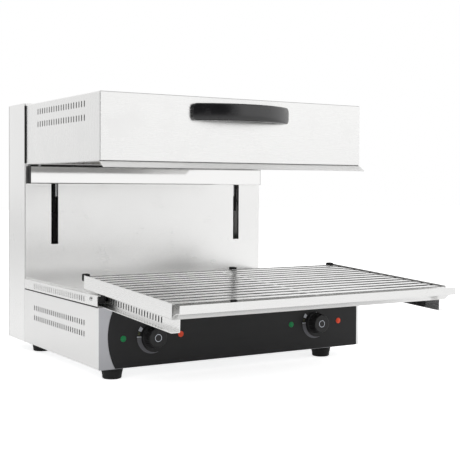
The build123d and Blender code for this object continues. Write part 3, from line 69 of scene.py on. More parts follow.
def low(node):
    """Lowest corner of a CAD node at rest, in millimetres."""
    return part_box(node)[0] / MM


def high(node):
    """Highest corner of a CAD node at rest, in millimetres."""
    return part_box(node)[1] / MM


def centre(node):
    """Middle of a CAD node's box, in millimetres."""
    return (low(node) + high(node)) / 2


def half_size(node):
    """Half the size of a CAD node's box each way, in millimetres."""
    return (high(node) - low(node)) / 2


PANEL_Y = low("control_overlay").y
BASE_BOTTOM_Z = low("base_shell").z
KNOB_X = {side: centre("knob_" + side).x for side in ("left", "right")}
CONTROL_Z = centre("knob_left").z

# The tray droops from a pivot at its front glides. TRAY places points that are given across it,
# back along it and up from it, called x, v and w.
GLIDE_SETBACK = 8.0
DROOP = math.radians(2.9)
PIVOT = Vector((0.0, high("control_overlay").y + GLIDE_SETBACK, high("tray_runner_left").z))
TRAY = Matrix.Translation(PIVOT) @ Matrix.Rotation(DROOP, 4, "X")


# ---------------------------------------------------------------- shader expressions
class Wire:
    """A node's output that can be used in sums. Each operator adds a Math node."""

    def __init__(self, graph, socket):
        self.graph = graph
        self.socket = socket

    def maths(self, operation, *values):
        """A Math node on the given values, or on this one alone."""
        inputs = dict(enumerate(values or (self,)))
        return self.graph.node("ShaderNodeMath", {"operation": operation}, inputs)

    def __add__(self, other):
        return self.maths("ADD", self, other)

    def __radd__(self, other):
        return self.maths("ADD", other, self)

    def __sub__(self, other):
        return self.maths("SUBTRACT", self, other)

    def __rsub__(self, other):
        return self.maths("SUBTRACT", other, self)

    def __mul__(self, other):
        return self.maths("MULTIPLY", self, other)

    def __rmul__(self, other):
        return self.maths("MULTIPLY", other, self)

    def __abs__(self):
        return self.maths("ABSOLUTE", self)

    def above(self, edge, width):
        """0 below the edge and 1 above it, with a soft step of the given width."""
        settings = {"interpolation_type": "SMOOTHSTEP", "clamp": True}
        inputs = {"Value": self, "From Min": edge - width / 2, "From Max": edge + width / 2}
        return self.graph.node("ShaderNodeMapRange", settings, inputs)

    def larger(self, other):
        """The larger of two values."""
        return self.maths("MAXIMUM", self, other)


class Graph:
    """A node tree that is written with expressions."""

    def __init__(self, tree):
        self.tree = tree

    def node(self, kind, settings=None, inputs=None, output=0):
        """Adds a node: its settings first, then the values or links of its sockets."""
        added = self.tree.nodes.new(kind)
        for name, value in (settings or {}).items():
            setattr(added, name, value)
        for name, value in (inputs or {}).items():
            self.feed(added.inputs[name], value)
        return Wire(self, added.outputs[output])

    def feed(self, socket, value):
        """Links a wire to a socket, or sets the socket's own value."""
        if isinstance(value, Wire):
            self.tree.links.new(value.socket, socket)
        else:
            socket.default_value = value

    def split(self, vector, letter):
        """One part of a vector."""
        return self.node("ShaderNodeSeparateXYZ", inputs={0: vector}, output=letter)

    def dot(self, vector, direction):
        """How far a vector points along a direction."""
        settings = {"operation": "DOT_PRODUCT"}
        inputs = {0: vector, 1: direction}
        return self.node("ShaderNodeVectorMath", settings, inputs, output="Value")

    def mix(self, factor, first, second):
        """Colour between two colours."""
        inputs = {"Factor": factor, 6: first, 7: second}
        return self.node("ShaderNodeMix", {"data_type": "RGBA"}, inputs, output=2)


class Finish(Graph):
    """One material: its nodes, and the constants of its main shader."""

    def __init__(self, name, **constants):
        self.material = bpy.data.materials.new(name)
        self.material.use_nodes = True
        super().__init__(self.material.node_tree)
        self.shader = self.tree.nodes["Principled BSDF"]
        for socket_name, value in constants.items():
            self.shader.inputs[socket_name.replace("_", " ")].default_value = value

    def paint(self, **links):
        """Links what changes over the surface to the main shader's sockets."""
        for name, value in links.items():
            self.feed(self.shader.inputs[name.replace("_", " ")], value)

    def place(self, scale=(1.0, 1.0, 1.0)):
        """The point on the piece in metres, times a scale each way."""
        point = self.node("ShaderNodeTexCoord", output="Object")
        return self.node("ShaderNodeVectorMath", {"operation": "MULTIPLY"}, {0: point, 1: scale})

    def along(self, letter):
        """One coordinate of the point on the piece, in metres."""
        return self.split(self.place(), letter)

    def faces(self, letter):
        """How squarely the surface faces along an axis, from 0 to 1."""
        normal = self.node("ShaderNodeTexCoord", output="Normal")
        return abs(self.split(normal, letter))

    def noise(self, scale, detail=3.0, roughness=0.55):
        """Noise from 0 to 1, with a scale per metre each way."""
        inputs = {"Vector": self.place(scale), "Scale": 1.0, "Detail": detail,
                  "Roughness": roughness}
        return self.node("ShaderNodeTexNoise", inputs=inputs, output="Fac")

    def cells(self, scale):
        """Distance to the nearest of many scattered points."""
        inputs = {"Vector": self.place(scale), "Scale": 1.0}
        return self.node("ShaderNodeTexVoronoi", inputs=inputs, output="Distance")

    def thread(self, letter, pitch):
        """Rounded ridges across an axis, a pitch in metres apart."""
        return 0.5 + 0.5 * (self.along(letter) * (FULL_TURN / pitch)).maths("SINE")

    def blend(self, factor, first, second):
        """Number between two numbers."""
        return first + factor * (second - first)

    def tone(self, mask, colour, dark, light):
        """One colour at two brightnesses, mixed by a mask."""
        return self.mix(mask, shade(dark, colour), shade(light, colour))

    def bump(self, height, strength, distance, below=None):
        """Relief from a height, laid over another relief where one is given."""
        inputs = {"Height": height, "Strength": strength, "Distance": distance}
        if below:
            inputs["Normal"] = below
        return self.node("ShaderNodeBump", inputs=inputs)


def shade(value, tint=(1.0, 1.0, 1.0)):
    """Opaque colour of one brightness and a tint."""
    return (value * tint[0], value * tint[1], value * tint[2], 1.0)


# ---------------------------------------------------------------- finishes
ALONG_X = (6.0, 1100.0, 1100.0)
ALONG_Y = (1100.0, 6.0, 1100.0)
ALONG_Z = (1100.0, 1100.0, 6.0)
STEEL_TINT = (1.0, 0.998, 0.99)
FASCIA_TINT = (0.97, 0.975, 1.02)
FILM_TINT = (0.97, 0.97, 1.03)
BRASS = (0.78, 0.6, 0.3)
BLACK_NYLON = (0.014, 0.014, 0.015)


def even(scale):
    """The same scale each way."""
    return (scale, scale, scale)


def brushed_steel(name, front_grain, side_grain, brightness, roughness, metallic=1.0):
    """Stainless sheet: scratches along its grain, faint handling marks and slight waviness."""
    steel = Finish(name, Metallic=metallic)
    on_side = steel.faces("X").above(0.6, 0.2)
    scratches = steel.blend(on_side, steel.noise(front_grain, 4.0), steel.noise(side_grain, 4.0))
    cloud = steel.noise(even(4.0), 2.0)
    smears = steel.noise(even(22.0), 4.0).above(0.62, 0.3)
    bend = (steel.faces("X") * steel.faces("Y")).above(0.2, 0.2)
    waviness = steel.bump(cloud, 0.55 * roughness, 0.004)
    steel.paint(
        Base_Color=steel.tone(scratches * 0.65 + cloud * 0.35, STEEL_TINT, brightness * 0.96,
                              brightness),
        Roughness=roughness * (0.78 + scratches * 0.44 + smears * 0.15) + bend * 0.35,
        Normal=steel.bump(scratches, 0.19 * roughness, 0.0002, waviness),
    )
    return steel.material


def polished_metal(name, colour, roughness, dents=0.0, underside_shade=1.0):
    """Bright metal with hairline scratches, fingermarks, soft dents, and painted shade that darkens
    its downward faces.
    """
    metal = Finish(name, Metallic=1.0)
    cloud = metal.noise(even(30.0), 3.0)
    hairs = metal.noise((2500.0, 60.0, 2500.0), 3.0)
    dented = metal.bump(metal.noise(even(12.0), 1.0), 0.3, dents)
    top = metal.split(metal.node("ShaderNodeTexCoord", output="Normal"), "Z").above(-0.1, 0.3)
    clean = metal.tone(cloud, colour, 0.9, 1.0)
    # painted shade: faces turned downwards take the darker underside brightness
    metal.paint(
        Base_Color=metal.mix(top, shade(underside_shade, colour), clean),
        Roughness=roughness + (cloud - 0.5) * 0.08 + (hairs - 0.5) * 0.04,
        Normal=metal.bump(hairs, 0.05, 0.0001, dented),
    )
    return metal.material


def zinc_sheet(name, colour, roughness):
    """Galvanised sheet with its spangle and pale bloom."""
    zinc = Finish(name, Metallic=1.0)
    spangle = zinc.cells(even(140.0))
    bloom = zinc.noise(even(45.0), 4.0)
    zinc.paint(
        Base_Color=zinc.tone(spangle * 0.6 + bloom * 0.5, colour, 0.75, 1.1),
        Roughness=roughness + (spangle - 0.4) * 0.2 + (bloom - 0.5) * 0.15,
        Normal=zinc.bump(bloom, 0.08, 0.0004),
    )
    return zinc.material


def moulding(name, colour, roughness, grain=1400.0, relief=0.12, gloss=0.5):
    """Moulded plastic: a fine eroded texture and slightly uneven colour."""
    plastic = Finish(name, Specular_IOR_Level=gloss)
    grit = plastic.noise(even(grain), 2.0)
    cloud = plastic.noise(even(35.0), 3.0)
    plastic.paint(
        Base_Color=plastic.tone(cloud, colour, 0.8, 1.15),
        Roughness=roughness + (grit - 0.5) * 0.14 + (cloud - 0.5) * 0.08,
        Normal=plastic.bump(grit, relief, 0.0001),
    )
    return plastic.material


def rubber(name, colour):
    """Moulded rubber: matt, with a dusty bloom in patches and a pitted skin."""
    matt = Finish(name, Specular_IOR_Level=0.35)
    pits = matt.noise(even(900.0), 3.0)
    bloom = matt.noise(even(60.0), 4.0).above(0.58, 0.3)
    matt.paint(
        Base_Color=matt.tone(bloom, colour, 0.85, 1.8),
        Roughness=0.55 + (pits - 0.5) * 0.2 + bloom * 0.12,
        Normal=matt.bump(pits, 0.25, 0.0002),
    )
    return matt.material


def lens(name, colour):
    """Clear coloured plastic of a pilot lamp: cloudy, faintly glowing, with fine prisms inside."""
    glass = Finish(name, Specular_IOR_Level=0.3, Coat_Weight=0.15, Coat_Roughness=0.05,
                   Emission_Strength=0.12)
    prisms = glass.cells(even(900.0))
    depth = glass.noise(even(220.0), 2.0)
    body = glass.tone(prisms * 0.6 + depth * 0.4, colour, 0.75, 1.15)
    glass.paint(
        Base_Color=body,
        Emission_Color=body,
        Roughness=0.22 + prisms * 0.15,
        Normal=glass.bump(prisms, 0.3, 0.0003),
    )
    return glass.material


# ---------------------------------------------------------------- mesh building
def facing(axis, origin):
    """Place at a point whose Z runs along an axis and whose Y stays as upright as it can."""
    turn = Vector(axis).to_track_quat("Z", "Y").to_matrix().to_4x4()
    return Matrix.Translation(Vector(origin)) @ turn


def ring(bm, place, points):
    """New vertices at local points."""
    return [bm.verts.new(place @ Vector(point)) for point in points]


def join(bm, first, second):
    """Faces between two closed rings, either of which may be a single point."""
    count = max(len(first), len(second))
    if count == 1:
        return
    for i in range(count):
        j = (i + 1) % count
        corners = [first[i % len(first)], first[j % len(first)],
                   second[j % len(second)], second[i % len(second)]]
        bm.faces.new(dict.fromkeys(corners))


def skin(bm, rings, closed=False, caps=True):
    """Joins rings in order, and either closes them in a circle or caps the two ends."""
    for first, second in zip(rings, rings[1:]):
        join(bm, first, second)
    if closed:
        join(bm, rings[-1], rings[0])
    elif caps:
        for end in (rings[0], rings[-1]):
            if len(end) > 2:
                bm.faces.new(end)


def unshaped(angle, radius, height):
    """Leaves a turned point where it is."""
    return radius, height


def lathe(bm, place, profile, segments=SEGMENTS, shaped=unshaped, closed=False):
    """Turns (radius, height) points about the place's Z; shaped() may move each point."""
    rings = []
    for radius, height in profile:
        if radius == 0:
            rings.append(ring(bm, place, [(0.0, 0.0, shaped(0.0, 0.0, height)[1])]))
            continue
        points = []
        for i in range(segments):
            angle = FULL_TURN * i / segments
            reach, rise = shaped(angle, radius, height)
            points.append((reach * math.cos(angle), reach * math.sin(angle), rise))
        rings.append(ring(bm, place, points))
    skin(bm, rings, closed=closed)


def rounded_loop(half_width, half_height, radius, steps=5):
    """Closed outline of a rounded rectangle about the origin."""
    points = []
    for quarter in range(4):
        turn = quarter * QUARTER_TURN
        corner_x = (half_width - radius) * (1, -1, -1, 1)[quarter]
        corner_y = (half_height - radius) * (1, 1, -1, -1)[quarter]
        for step in range(steps + 1):
            angle = turn + step * QUARTER_TURN / steps
            points.append((corner_x + radius * math.cos(angle),
                           corner_y + radius * math.sin(angle)))
    return points


def stack(bm, place, layers, steps=4):
    """Joins rounded rectangles, each given as its height, two half sizes and corner radius."""
    skin(bm, [ring(bm, place, [(x, y, height) for x, y in rounded_loop(*size, steps)])
              for height, *size in layers])


def smooth_step(value, start, end):
    """0 at the start and 1 at the end, easing both ways."""
    share = min(max((value - start) / (end - start), 0.0), 1.0)
    return share * share * (3 - 2 * share)


def made(name, bm, body, material, stands_for=(), crease=35.0):
    """Turns a finished mesh into a piece that rides on a body."""
    bmesh.ops.remove_doubles(bm, verts=bm.verts, dist=0.001)
    bmesh.ops.recalc_face_normals(bm, faces=bm.faces)
    bmesh.ops.scale(bm, vec=(MM, MM, MM), verts=bm.verts)
    mesh = bpy.data.meshes.new(name)
    bm.to_mesh(mesh)
    bm.free()
    mesh.shade_smooth()
    mesh.set_sharp_from_angle(angle=math.radians(crease))
    mesh.materials.append(material)
    piece = bpy.data.objects.new(name, mesh)
    bpy.context.scene.collection.objects.link(piece)
    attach(piece, body)
    if stands_for:
        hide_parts(*stands_for)
    return piece


def dress(names, material):
    """Gives CAD nodes a finish."""
    for name in names:
        mesh = NODES[name].data
        mesh.materials.clear()
        mesh.materials.append(material)


def soften(names, width, segments=2):
    """Rounds the sharp edges of CAD nodes with modifiers, and leaves their meshes alone."""
    for name in names:
        weld = NODES[name].modifiers.new("weld", "WELD")
        weld.merge_threshold = 0.00001
        bevel = NODES[name].modifiers.new("soft_edges", "BEVEL")
        bevel.width = width * MM
        bevel.segments = segments
        bevel.limit_method = "ANGLE"
        bevel.angle_limit = math.radians(50.0)
        bevel.harden_normals = True


# ---------------------------------------------------------------- settings
class StageSettings(PropertyGroup):
    """The camera and the studio around the appliance."""

    camera_place: FloatVectorProperty(
        name="Camera place", description="Where the camera stands", size=3,
        default=(-1.0290124, -1.7331702, 0.3530192), subtype="TRANSLATION", unit="LENGTH")
    camera_yaw: FloatProperty(
        name="Camera yaw", description="Turn of the view to the right of straight back",
        default=math.radians(31.8549304), subtype="ANGLE")
    camera_pitch: FloatProperty(
        name="Camera pitch", description="Tilt of the view above the horizon",
        default=math.radians(-1.2948082), subtype="ANGLE")
    camera_roll: FloatProperty(
        name="Camera roll", description="Roll of the camera about its line of sight",
        default=math.radians(-0.2625262), subtype="ANGLE")
    focal_length: FloatProperty(
        name="Focal length", description="Lens for a 36 mm sensor, in millimetres",
        default=76.86796)
    shift: FloatVectorProperty(
        name="Shift", description="Shift of the lens across and up", size=2,
        default=(-0.0062677, -0.0446926))
    floor_glow: FloatProperty(
        name="Floor glow", description="How far the paper floor is lifted to white", min=0.0,
        max=1.0, default=0.72, subtype="FACTOR")
    daylight: FloatProperty(
        name="Daylight", description="Strength of the soft light from all sides", min=0.0,
        max=2.0, default=0.55)
    lamp_power: FloatProperty(
        name="Lamp power", description="Power of the main lamp", min=0.0, default=34.0,
        unit="POWER")


class SteelSettings(PropertyGroup):
    """The stainless sheet."""

    brightness: FloatProperty(
        name="Brightness", description="How much light the sheet reflects", min=0.0, max=1.0,
        default=0.985, subtype="FACTOR")
    roughness: FloatProperty(
        name="Roughness", description="How dull the brushed sheet is", min=0.0, max=1.0,
        default=0.27, subtype="FACTOR")
    # the fascia's low brightness is painted shade: a darker copy of the steel that stands in for
    # the dark things its sheet reflects
    fascia_shade_brightness: FloatProperty(
        name="Fascia brightness", description="How much light the control panel's sheet reflects",
        min=0.0, max=1.0, default=0.54, subtype="FACTOR")


class HandleSettings(PropertyGroup):
    """The bow handle on the head."""

    colour: FloatVectorProperty(
        name="Colour", description="Colour of the handle's plastic", size=3, min=0.0, max=1.0,
        default=(0.008, 0.008, 0.009), subtype="COLOR")
    crown: FloatProperty(
        name="Crown", description="How far the grip's face bulges, in millimetres", default=0.9)
    edge: FloatProperty(
        name="Edge", description="Radius of the grip's edges, in millimetres", default=3.0)


class KnobSettings(PropertyGroup):
    """The knobs and the dials printed behind them."""

    colour: FloatVectorProperty(
        name="Colour", description="Colour of the knobs", size=3, min=0.0, max=1.0,
        default=(0.02, 0.02, 0.0205), subtype="COLOR")
    flutes: IntProperty(
        name="Flutes", description="Grip flutes round a knob", min=3, default=24)
    flute_depth: FloatProperty(
        name="Flute depth", description="Depth of a flute, in millimetres", default=0.8)
    dial_radius: FloatProperty(
        name="Dial radius", description="Outer radius of the dial's print, in millimetres",
        default=32.0)
    dial_width: FloatProperty(
        name="Dial width", description="Widest part of the dial's crescent, in millimetres",
        default=8.5)
    dial_colour: FloatVectorProperty(
        name="Dial colour", description="Colour of the crescent", size=3, min=0.0, max=1.0,
        default=(0.16, 0.16, 0.175), subtype="COLOR")
    mark_colour: FloatVectorProperty(
        name="Mark colour", description="Colour of the dial's light marks", size=3, min=0.0,
        max=1.0, default=(0.62, 0.64, 0.68), subtype="COLOR")


class LampSettings(PropertyGroup):
    """The pilot lamps."""

    green: FloatVectorProperty(
        name="Green", description="Colour of the mains lamps", size=3, min=0.0, max=1.0,
        default=(0.002, 0.23, 0.066), subtype="COLOR")
    red: FloatVectorProperty(
        name="Red", description="Colour of the heating lamps", size=3, min=0.0, max=1.0,
        default=(0.92, 0.085, 0.03), subtype="COLOR")


class RubberSettings(PropertyGroup):
    """The feet and the tray's buffers."""

    colour: FloatVectorProperty(
        name="Colour", description="Colour of the rubber", size=3, min=0.0, max=1.0,
        default=(0.01, 0.01, 0.01), subtype="COLOR")
    foot_edge: FloatProperty(
        name="Foot edge", description="Radius of a foot's bottom edge, in millimetres",
        default=3.0)


class HeaterSettings(PropertyGroup):
    """The heating elements and what is round them."""

    wool_colour: FloatVectorProperty(
        name="Wool colour", description="Colour of the mineral wool", size=3, min=0.0, max=1.0,
        default=(0.62, 0.56, 0.4), subtype="COLOR")
    sheath_colour: FloatVectorProperty(
        name="Sheath colour", description="Colour of the elements' heated sheath", size=3,
        min=0.0, max=1.0, default=(0.16, 0.145, 0.13), subtype="COLOR")


# ---------------------------------------------------------------- stage
class SetStage(Operator):
    """Build the floor, the lamps, the world and the camera"""

    bl_idname = "melter.stage"
    bl_label = "Stage"

    def execute(self, context):
        settings = context.scene.melter_stage
        scene = context.scene
        scene.view_settings.view_transform = "Standard"
        self.add_camera(scene, settings)
        self.add_world(scene, settings)
        self.add_floor(scene, settings)
        self.add_lamps(scene, settings)
        return {"FINISHED"}

    def add_camera(self, scene, settings):
        """Camera at the photograph's place, with its lens and shift."""
        data = bpy.data.cameras.new("photo_camera")
        data.lens = settings.focal_length
        data.sensor_width = 36.0
        data.shift_x, data.shift_y = settings.shift
        data.clip_start = 0.05
        data.clip_end = 50.0
        camera = bpy.data.objects.new("photo_camera", data)
        camera.location = settings.camera_place
        upright = QUARTER_TURN + settings.camera_pitch
        camera.rotation_euler = (upright, settings.camera_roll, -settings.camera_yaw)
        scene.collection.objects.link(camera)
        scene.camera = camera

    def seen(self, graph):
        """1 for the camera's, the mirrored and the refracted rays, and 0 for the others."""
        rays = ("Is Camera Ray", "Is Glossy Ray", "Is Transmission Ray")
        camera, glossy, through = [graph.node("ShaderNodeLightPath", output=ray) for ray in rays]
        return camera.larger(glossy).larger(through)

    def add_world(self, scene, settings):
        """White studio that metal mirrors with a greyer ceiling and left end and a dark doorway."""
        world = bpy.data.worlds.new("white_studio")
        world.use_nodes = True
        graph = Graph(world.node_tree)
        background = world.node_tree.nodes["Background"]
        direction = graph.node("ShaderNodeTexCoord", output="Generated")
        ceiling = graph.split(direction, "Z").above(0.55, 0.3)
        doorway = graph.dot(direction, (-0.56, -0.83, 0.0)).above(0.72, 0.3)
        left_end = graph.dot(direction, (-0.93, 0.36, 0.0)).above(0.75, 0.7)
        mirrored = (1.0 - ceiling * 0.55) * (1.0 - doorway * 0.96) * (1.0 - left_end * 0.5)
        camera = graph.node("ShaderNodeLightPath", output="Is Camera Ray")
        bright = camera + (1.0 - camera) * mirrored
        seen = self.seen(graph)
        background.inputs["Color"].default_value = (1.0, 1.0, 1.0, 1.0)
        graph.feed(background.inputs["Strength"],
                   seen * bright + (1.0 - seen) * settings.daylight)
        scene.world = world

    def add_floor(self, scene, settings):
        """White paper floor, which glows for the camera and less in what metal mirrors."""
        reach, mirrored_share = 12.0, 0.34
        seen_white, bounced_white = 0.95, 0.75
        mesh = bpy.data.meshes.new("floor")
        corners = [(-reach, -reach, 0), (reach, -reach, 0), (reach, reach, 0), (-reach, reach, 0)]
        mesh.from_pydata(corners, [], [(0, 1, 2, 3)])
        floor = bpy.data.objects.new("floor", mesh)
        scene.collection.objects.link(floor)
        paper = Finish("floor_paper", Roughness=0.9, Specular_IOR_Level=0.0,
                       Emission_Strength=1.0)
        camera = paper.node("ShaderNodeLightPath", output="Is Camera Ray")
        glow = settings.floor_glow
        mirrored = paper.mix(self.seen(paper), shade(0.0), shade(glow * mirrored_share))
        paper.paint(Base_Color=paper.mix(camera, shade(bounced_white), shade(seen_white)),
                    Emission_Color=paper.mix(camera, mirrored, shade(glow)))
        mesh.materials.append(paper.material)

    def add_lamps(self, scene, settings):
        """Three square lamps, each with its place, its size and its share of the power."""
        aim_at = Vector((0.0, 0.0, 0.25))
        lamps = {
            "key_lamp": ((-1.2, -2.6, 2.6), 2.4, 1.0),
            "fill_lamp": ((2.6, -1.6, 1.6), 2.0, 0.45),
            "top_lamp": ((0.0, 0.2, 3.0), 2.2, 0.65),
        }
        for name, (place, size, share) in lamps.items():
            data = bpy.data.lights.new(name, "AREA")
            data.shape = "SQUARE"
            data.size = size
            data.energy = settings.lamp_power * share
            lamp = bpy.data.objects.new(name, data)
            lamp.location = place
            lamp.rotation_euler = (aim_at - lamp.location).to_track_quat("-Z", "Y").to_euler()
            lamp.visible_glossy = False
            scene.collection.objects.link(lamp)


# ---------------------------------------------------------------- sheet metal
class FinishSheets(Operator):
    """Give the stainless sheets, and the plain parts behind them, their finishes, with painted
    shade on the fascia and the head's back plate and a painted highlight on the fascia's right-hand
    end
    """

    bl_idname = "melter.finish_sheets"
    bl_label = "Sheet metal"

    def execute(self, context):
        settings = context.scene.melter_steel
        bright, rough = settings.brightness, settings.roughness
        rails = ["tray_rail_left", "tray_rail_right", "tray_runner_left", "tray_runner_right"]
        sheets = {
            "head_steel": (["head_casing"], ALONG_X, ALONG_Z, bright, rough),
            "frame_steel": (["head_frame"], ALONG_X, ALONG_Y, bright, rough + 0.1, 0.45),
            "crossbar_steel": (["crossbar"], ALONG_X, ALONG_Z, bright * 0.95, 0.05),
            "column_steel": (["column_shell", "top_cap"], ALONG_X, ALONG_Z, bright, rough - 0.03),
            "back_steel": (["back_cover"], ALONG_Z, ALONG_Z, bright * 0.85, rough + 0.1),
            "base_steel": (["base_shell"], ALONG_Y, ALONG_Y, bright * 0.95, rough + 0.04),
            "tray_steel": (["tray_front", "tray_rear"], ALONG_X, ALONG_Y, bright * 0.9,
                           rough - 0.03),
            "rail_steel": (rails, ALONG_Y, ALONG_Y, bright * 0.97, rough),
        }
        for name, (nodes, *look) in sheets.items():
            dress(nodes, brushed_steel(name, *look))
        dress(["front_fascia"], self.fascia(settings.fascia_shade_brightness))
        zinc = zinc_sheet("galvanised_sheet", (0.62, 0.63, 0.64), 0.42)
        dress(["floor_pan", "rod_brackets", "carriage_beam", "pan_bearers", "element_combs"], zinc)
        # the head's back plate takes this black finish as painted shade, so the gap behind the head
        # reads dark; the arms and gas cylinders are black of their own
        black_oxide_and_gap_shade = moulding("black_oxide_and_gap_shade", (0.01, 0.01, 0.011), 0.5, 700.0, 0.2, 0.15)
        dress(["lift_arm_left", "lift_arm_right", "gas_cylinders", "head_back"], black_oxide_and_gap_shade)
        ground = polished_metal("ground_rod", (0.82, 0.82, 0.83), 0.12)
        dress(["guide_rods", "gas_rods", "regulator_shaft_left", "regulator_shaft_right"], ground)
        dress(["crossbar_screws"], polished_metal("turned_steel", (0.45, 0.45, 0.46), 0.3))
        nylon = moulding("black_nylon", BLACK_NYLON, 0.4)
        dress(["front_glides", "rear_glides", "runner_stops", "guide_bushes"], nylon)
        soften(["runner_stops", "rear_glides"], 0.8)
        return {"FINISHED"}

    def fascia(self, brightness):
        """Bluish satin sheet of the control panel, darkened as painted shade, with a painted
        highlight at its right-hand end.
        """
        satin = Finish("fascia_steel", Metallic=1.0)
        scratches = satin.noise(ALONG_Z, 4.0)
        cloud = satin.noise(even(4.0), 2.0)
        highlight_from, highlight_white = 0.292, 0.97
        # painted highlight: beyond the given x the sheet is lifted to near white, standing in for
        # light on the panel's right-hand end
        painted_highlight_mask = satin.along("X").above(highlight_from, 0.01)
        sheet = satin.tone(scratches * 0.6 + cloud * 0.4, FASCIA_TINT, brightness * 0.95,
                           brightness)
        satin.paint(
            Base_Color=satin.mix(painted_highlight_mask, sheet, shade(highlight_white)),
            Roughness=0.37 + (scratches - 0.5) * 0.14,
            Normal=satin.bump(scratches, 0.05, 0.0002),
        )
        return satin.material


class FinishTray(Operator):
    """Give the grid and the drip pan their polished finishes and rolled edges"""

    bl_idname = "melter.finish_tray"
    bl_label = "Grid and drip pan"

    def execute(self, context):
        # painted shade: the grid's bars are darkened to 0.2 on their downward faces
        dress(["cooking_grid"], polished_metal("grid_steel", (0.97, 0.97, 0.965), 0.2, 0.0, 0.2))
        dress(["drip_pan"], polished_metal("pan_steel", (0.78, 0.78, 0.78), 0.06, 0.0015))
        soften(["cooking_grid"], 0.7, 3)
        return {"FINISHED"}


class MakeTrim(Operator):
    """Make the crossbar's end caps, and the dark strips of painted shade behind the head and along
    the runners' bottom edges
    """

    bl_idname = "melter.trim"
    bl_label = "End caps and sealing strips"

    def execute(self, context):
        self.end_caps(moulding("trim_plastic", (0.016, 0.016, 0.017), 0.5))
        # the strips behind the head and the runner beads are dark rubber as painted shade in the
        # gaps
        gap_shade_rubber = rubber("gap_shade_strip_rubber", (0.01, 0.01, 0.01))
        self.gap_shade_strips(gap_shade_rubber)
        self.seam_shade_beads(gap_shade_rubber)
        return {"FINISHED"}

    def end_caps(self, material):
        """A cap on each end of the crossbar, with a rounded edge and a shallow sunk face."""
        middle, half = centre("crossbar"), half_size("crossbar")
        edges = ((0.3, -0.6), (0.0, 0.0), (0.0, 0.7), (0.5, 1.1), (2.2, 1.1), (2.8, 0.7),
                 (3.2, 0.7))
        bm = bmesh.new()
        for side in SIDES:
            place = facing((side, 0, 0), (side * high("crossbar").x, middle.y, middle.z))
            stack(bm, place, [(rise, half.y - inset, half.z - inset, 1.6)
                              for inset, rise in edges])
        made("crossbar_end_caps", bm, "head", material)

    def gap_shade_strips(self, material):
        """Dark upright strips behind the head's two sides, and one between it and the crossbar,
        painted shade that fills the gaps there.
        """
        first, last = low("head_back"), high("head_back")
        middle_z, half_z = centre("head_back").z, half_size("head_back").z
        bar_front_y, bar_end_x = low("crossbar").y, high("crossbar").x
        bm = bmesh.new()
        for side in SIDES:
            self.strip(bm, (side * (last.x + 1.5), last.y - 0.1, middle_z), BACKWARDS, 2.0,
                       half_z - 1.0, 5.0)
        self.strip(bm, (0.0, bar_front_y + 5.0, first.z - 0.2), DOWNWARDS, bar_end_x - 4.0, 3.4,
                   4.4)
        made("head_gap_shade_strips", bm, "head", material)

    def seam_shade_beads(self, material):
        """A thin dark bead along the bottom edge of each of the tray's runners, painted shadow in
        the seam between runner and base.
        """
        first = low("tray_runner_left")
        middle_y, half_y = centre("tray_runner_left").y, half_size("tray_runner_left").y
        bm = bmesh.new()
        for side in SIDES:
            self.strip(bm, (side * (-first.x - 0.2), middle_y, first.z), (side, 0, 0),
                       half_y - 0.6, 0.9, 0.7, 0.4)
        made("runner_seam_shade", bm, "base", material)

    def strip(self, bm, place, axis, half_width, half_height, depth, edge=1.5):
        """Strip that stands on a sheet along an axis and has a rounded lip."""
        lip = ((0.0, 0.0), (0.65, 0.0), (0.85, 0.27), (0.97, 0.67), (1.0, 1.0))
        stack(bm, facing(axis, place),
              [(depth * share, half_width - taper * edge, half_height - taper * edge, 0.4)
               for share, taper in lip], 3)


class MakeVentShadeLiners(Operator):
    """Make the dark hemmed gauze behind the vents of the tray's rails, which darkens the vents as
    painted shade
    """

    bl_idname = "melter.vent_liners"
    bl_label = "Vent liners"

    def execute(self, context):
        half_length, half_height, corner = 151.0, 9.7, 2.5
        middle_v, middle_w = -85.0, -8.6
        hem = ((277.7, 2.4), (277.9, 1.9), (278.1, 1.7), (278.1, 0.3), (277.8, 0.0), (276.7, 0.0),
               (276.4, 0.3), (276.4, 1.7), (276.6, 1.9), (276.8, 2.4))
        bm = bmesh.new()
        for side in SIDES:
            place = TRAY @ facing((side, 0, 0), (0.0, middle_v, middle_w))
            stack(bm, place, [(x, half_length - inset, half_height - inset, corner)
                              for x, inset in hem])
        made("rail_vent_shade_liners", bm, "tray", self.shade_gauze())
        return {"FINISHED"}

    def shade_gauze(self):
        """Fine woven mesh with crossing threads and a little dust between them, near black as
        painted shade.
        """
        cloth = Finish("vent_shade_gauze", Specular_IOR_Level=0.2)
        pitch = 0.0012
        threads = cloth.thread("Y", pitch) * cloth.thread("Z", pitch)
        dust = cloth.noise(even(90.0), 4.0).above(0.55, 0.4)
        # painted shade: the gauze is kept near black so the vents read dark; the paler patches are
        # dust
        cloth.paint(
            Base_Color=cloth.mix(dust * 0.4, shade(0.025), shade(0.06, (1.0, 0.95, 0.88))),
            Roughness=0.7 + (threads - 0.5) * 0.2,
            Normal=cloth.bump(threads, 0.5, 0.0003),
        )
        return cloth.material


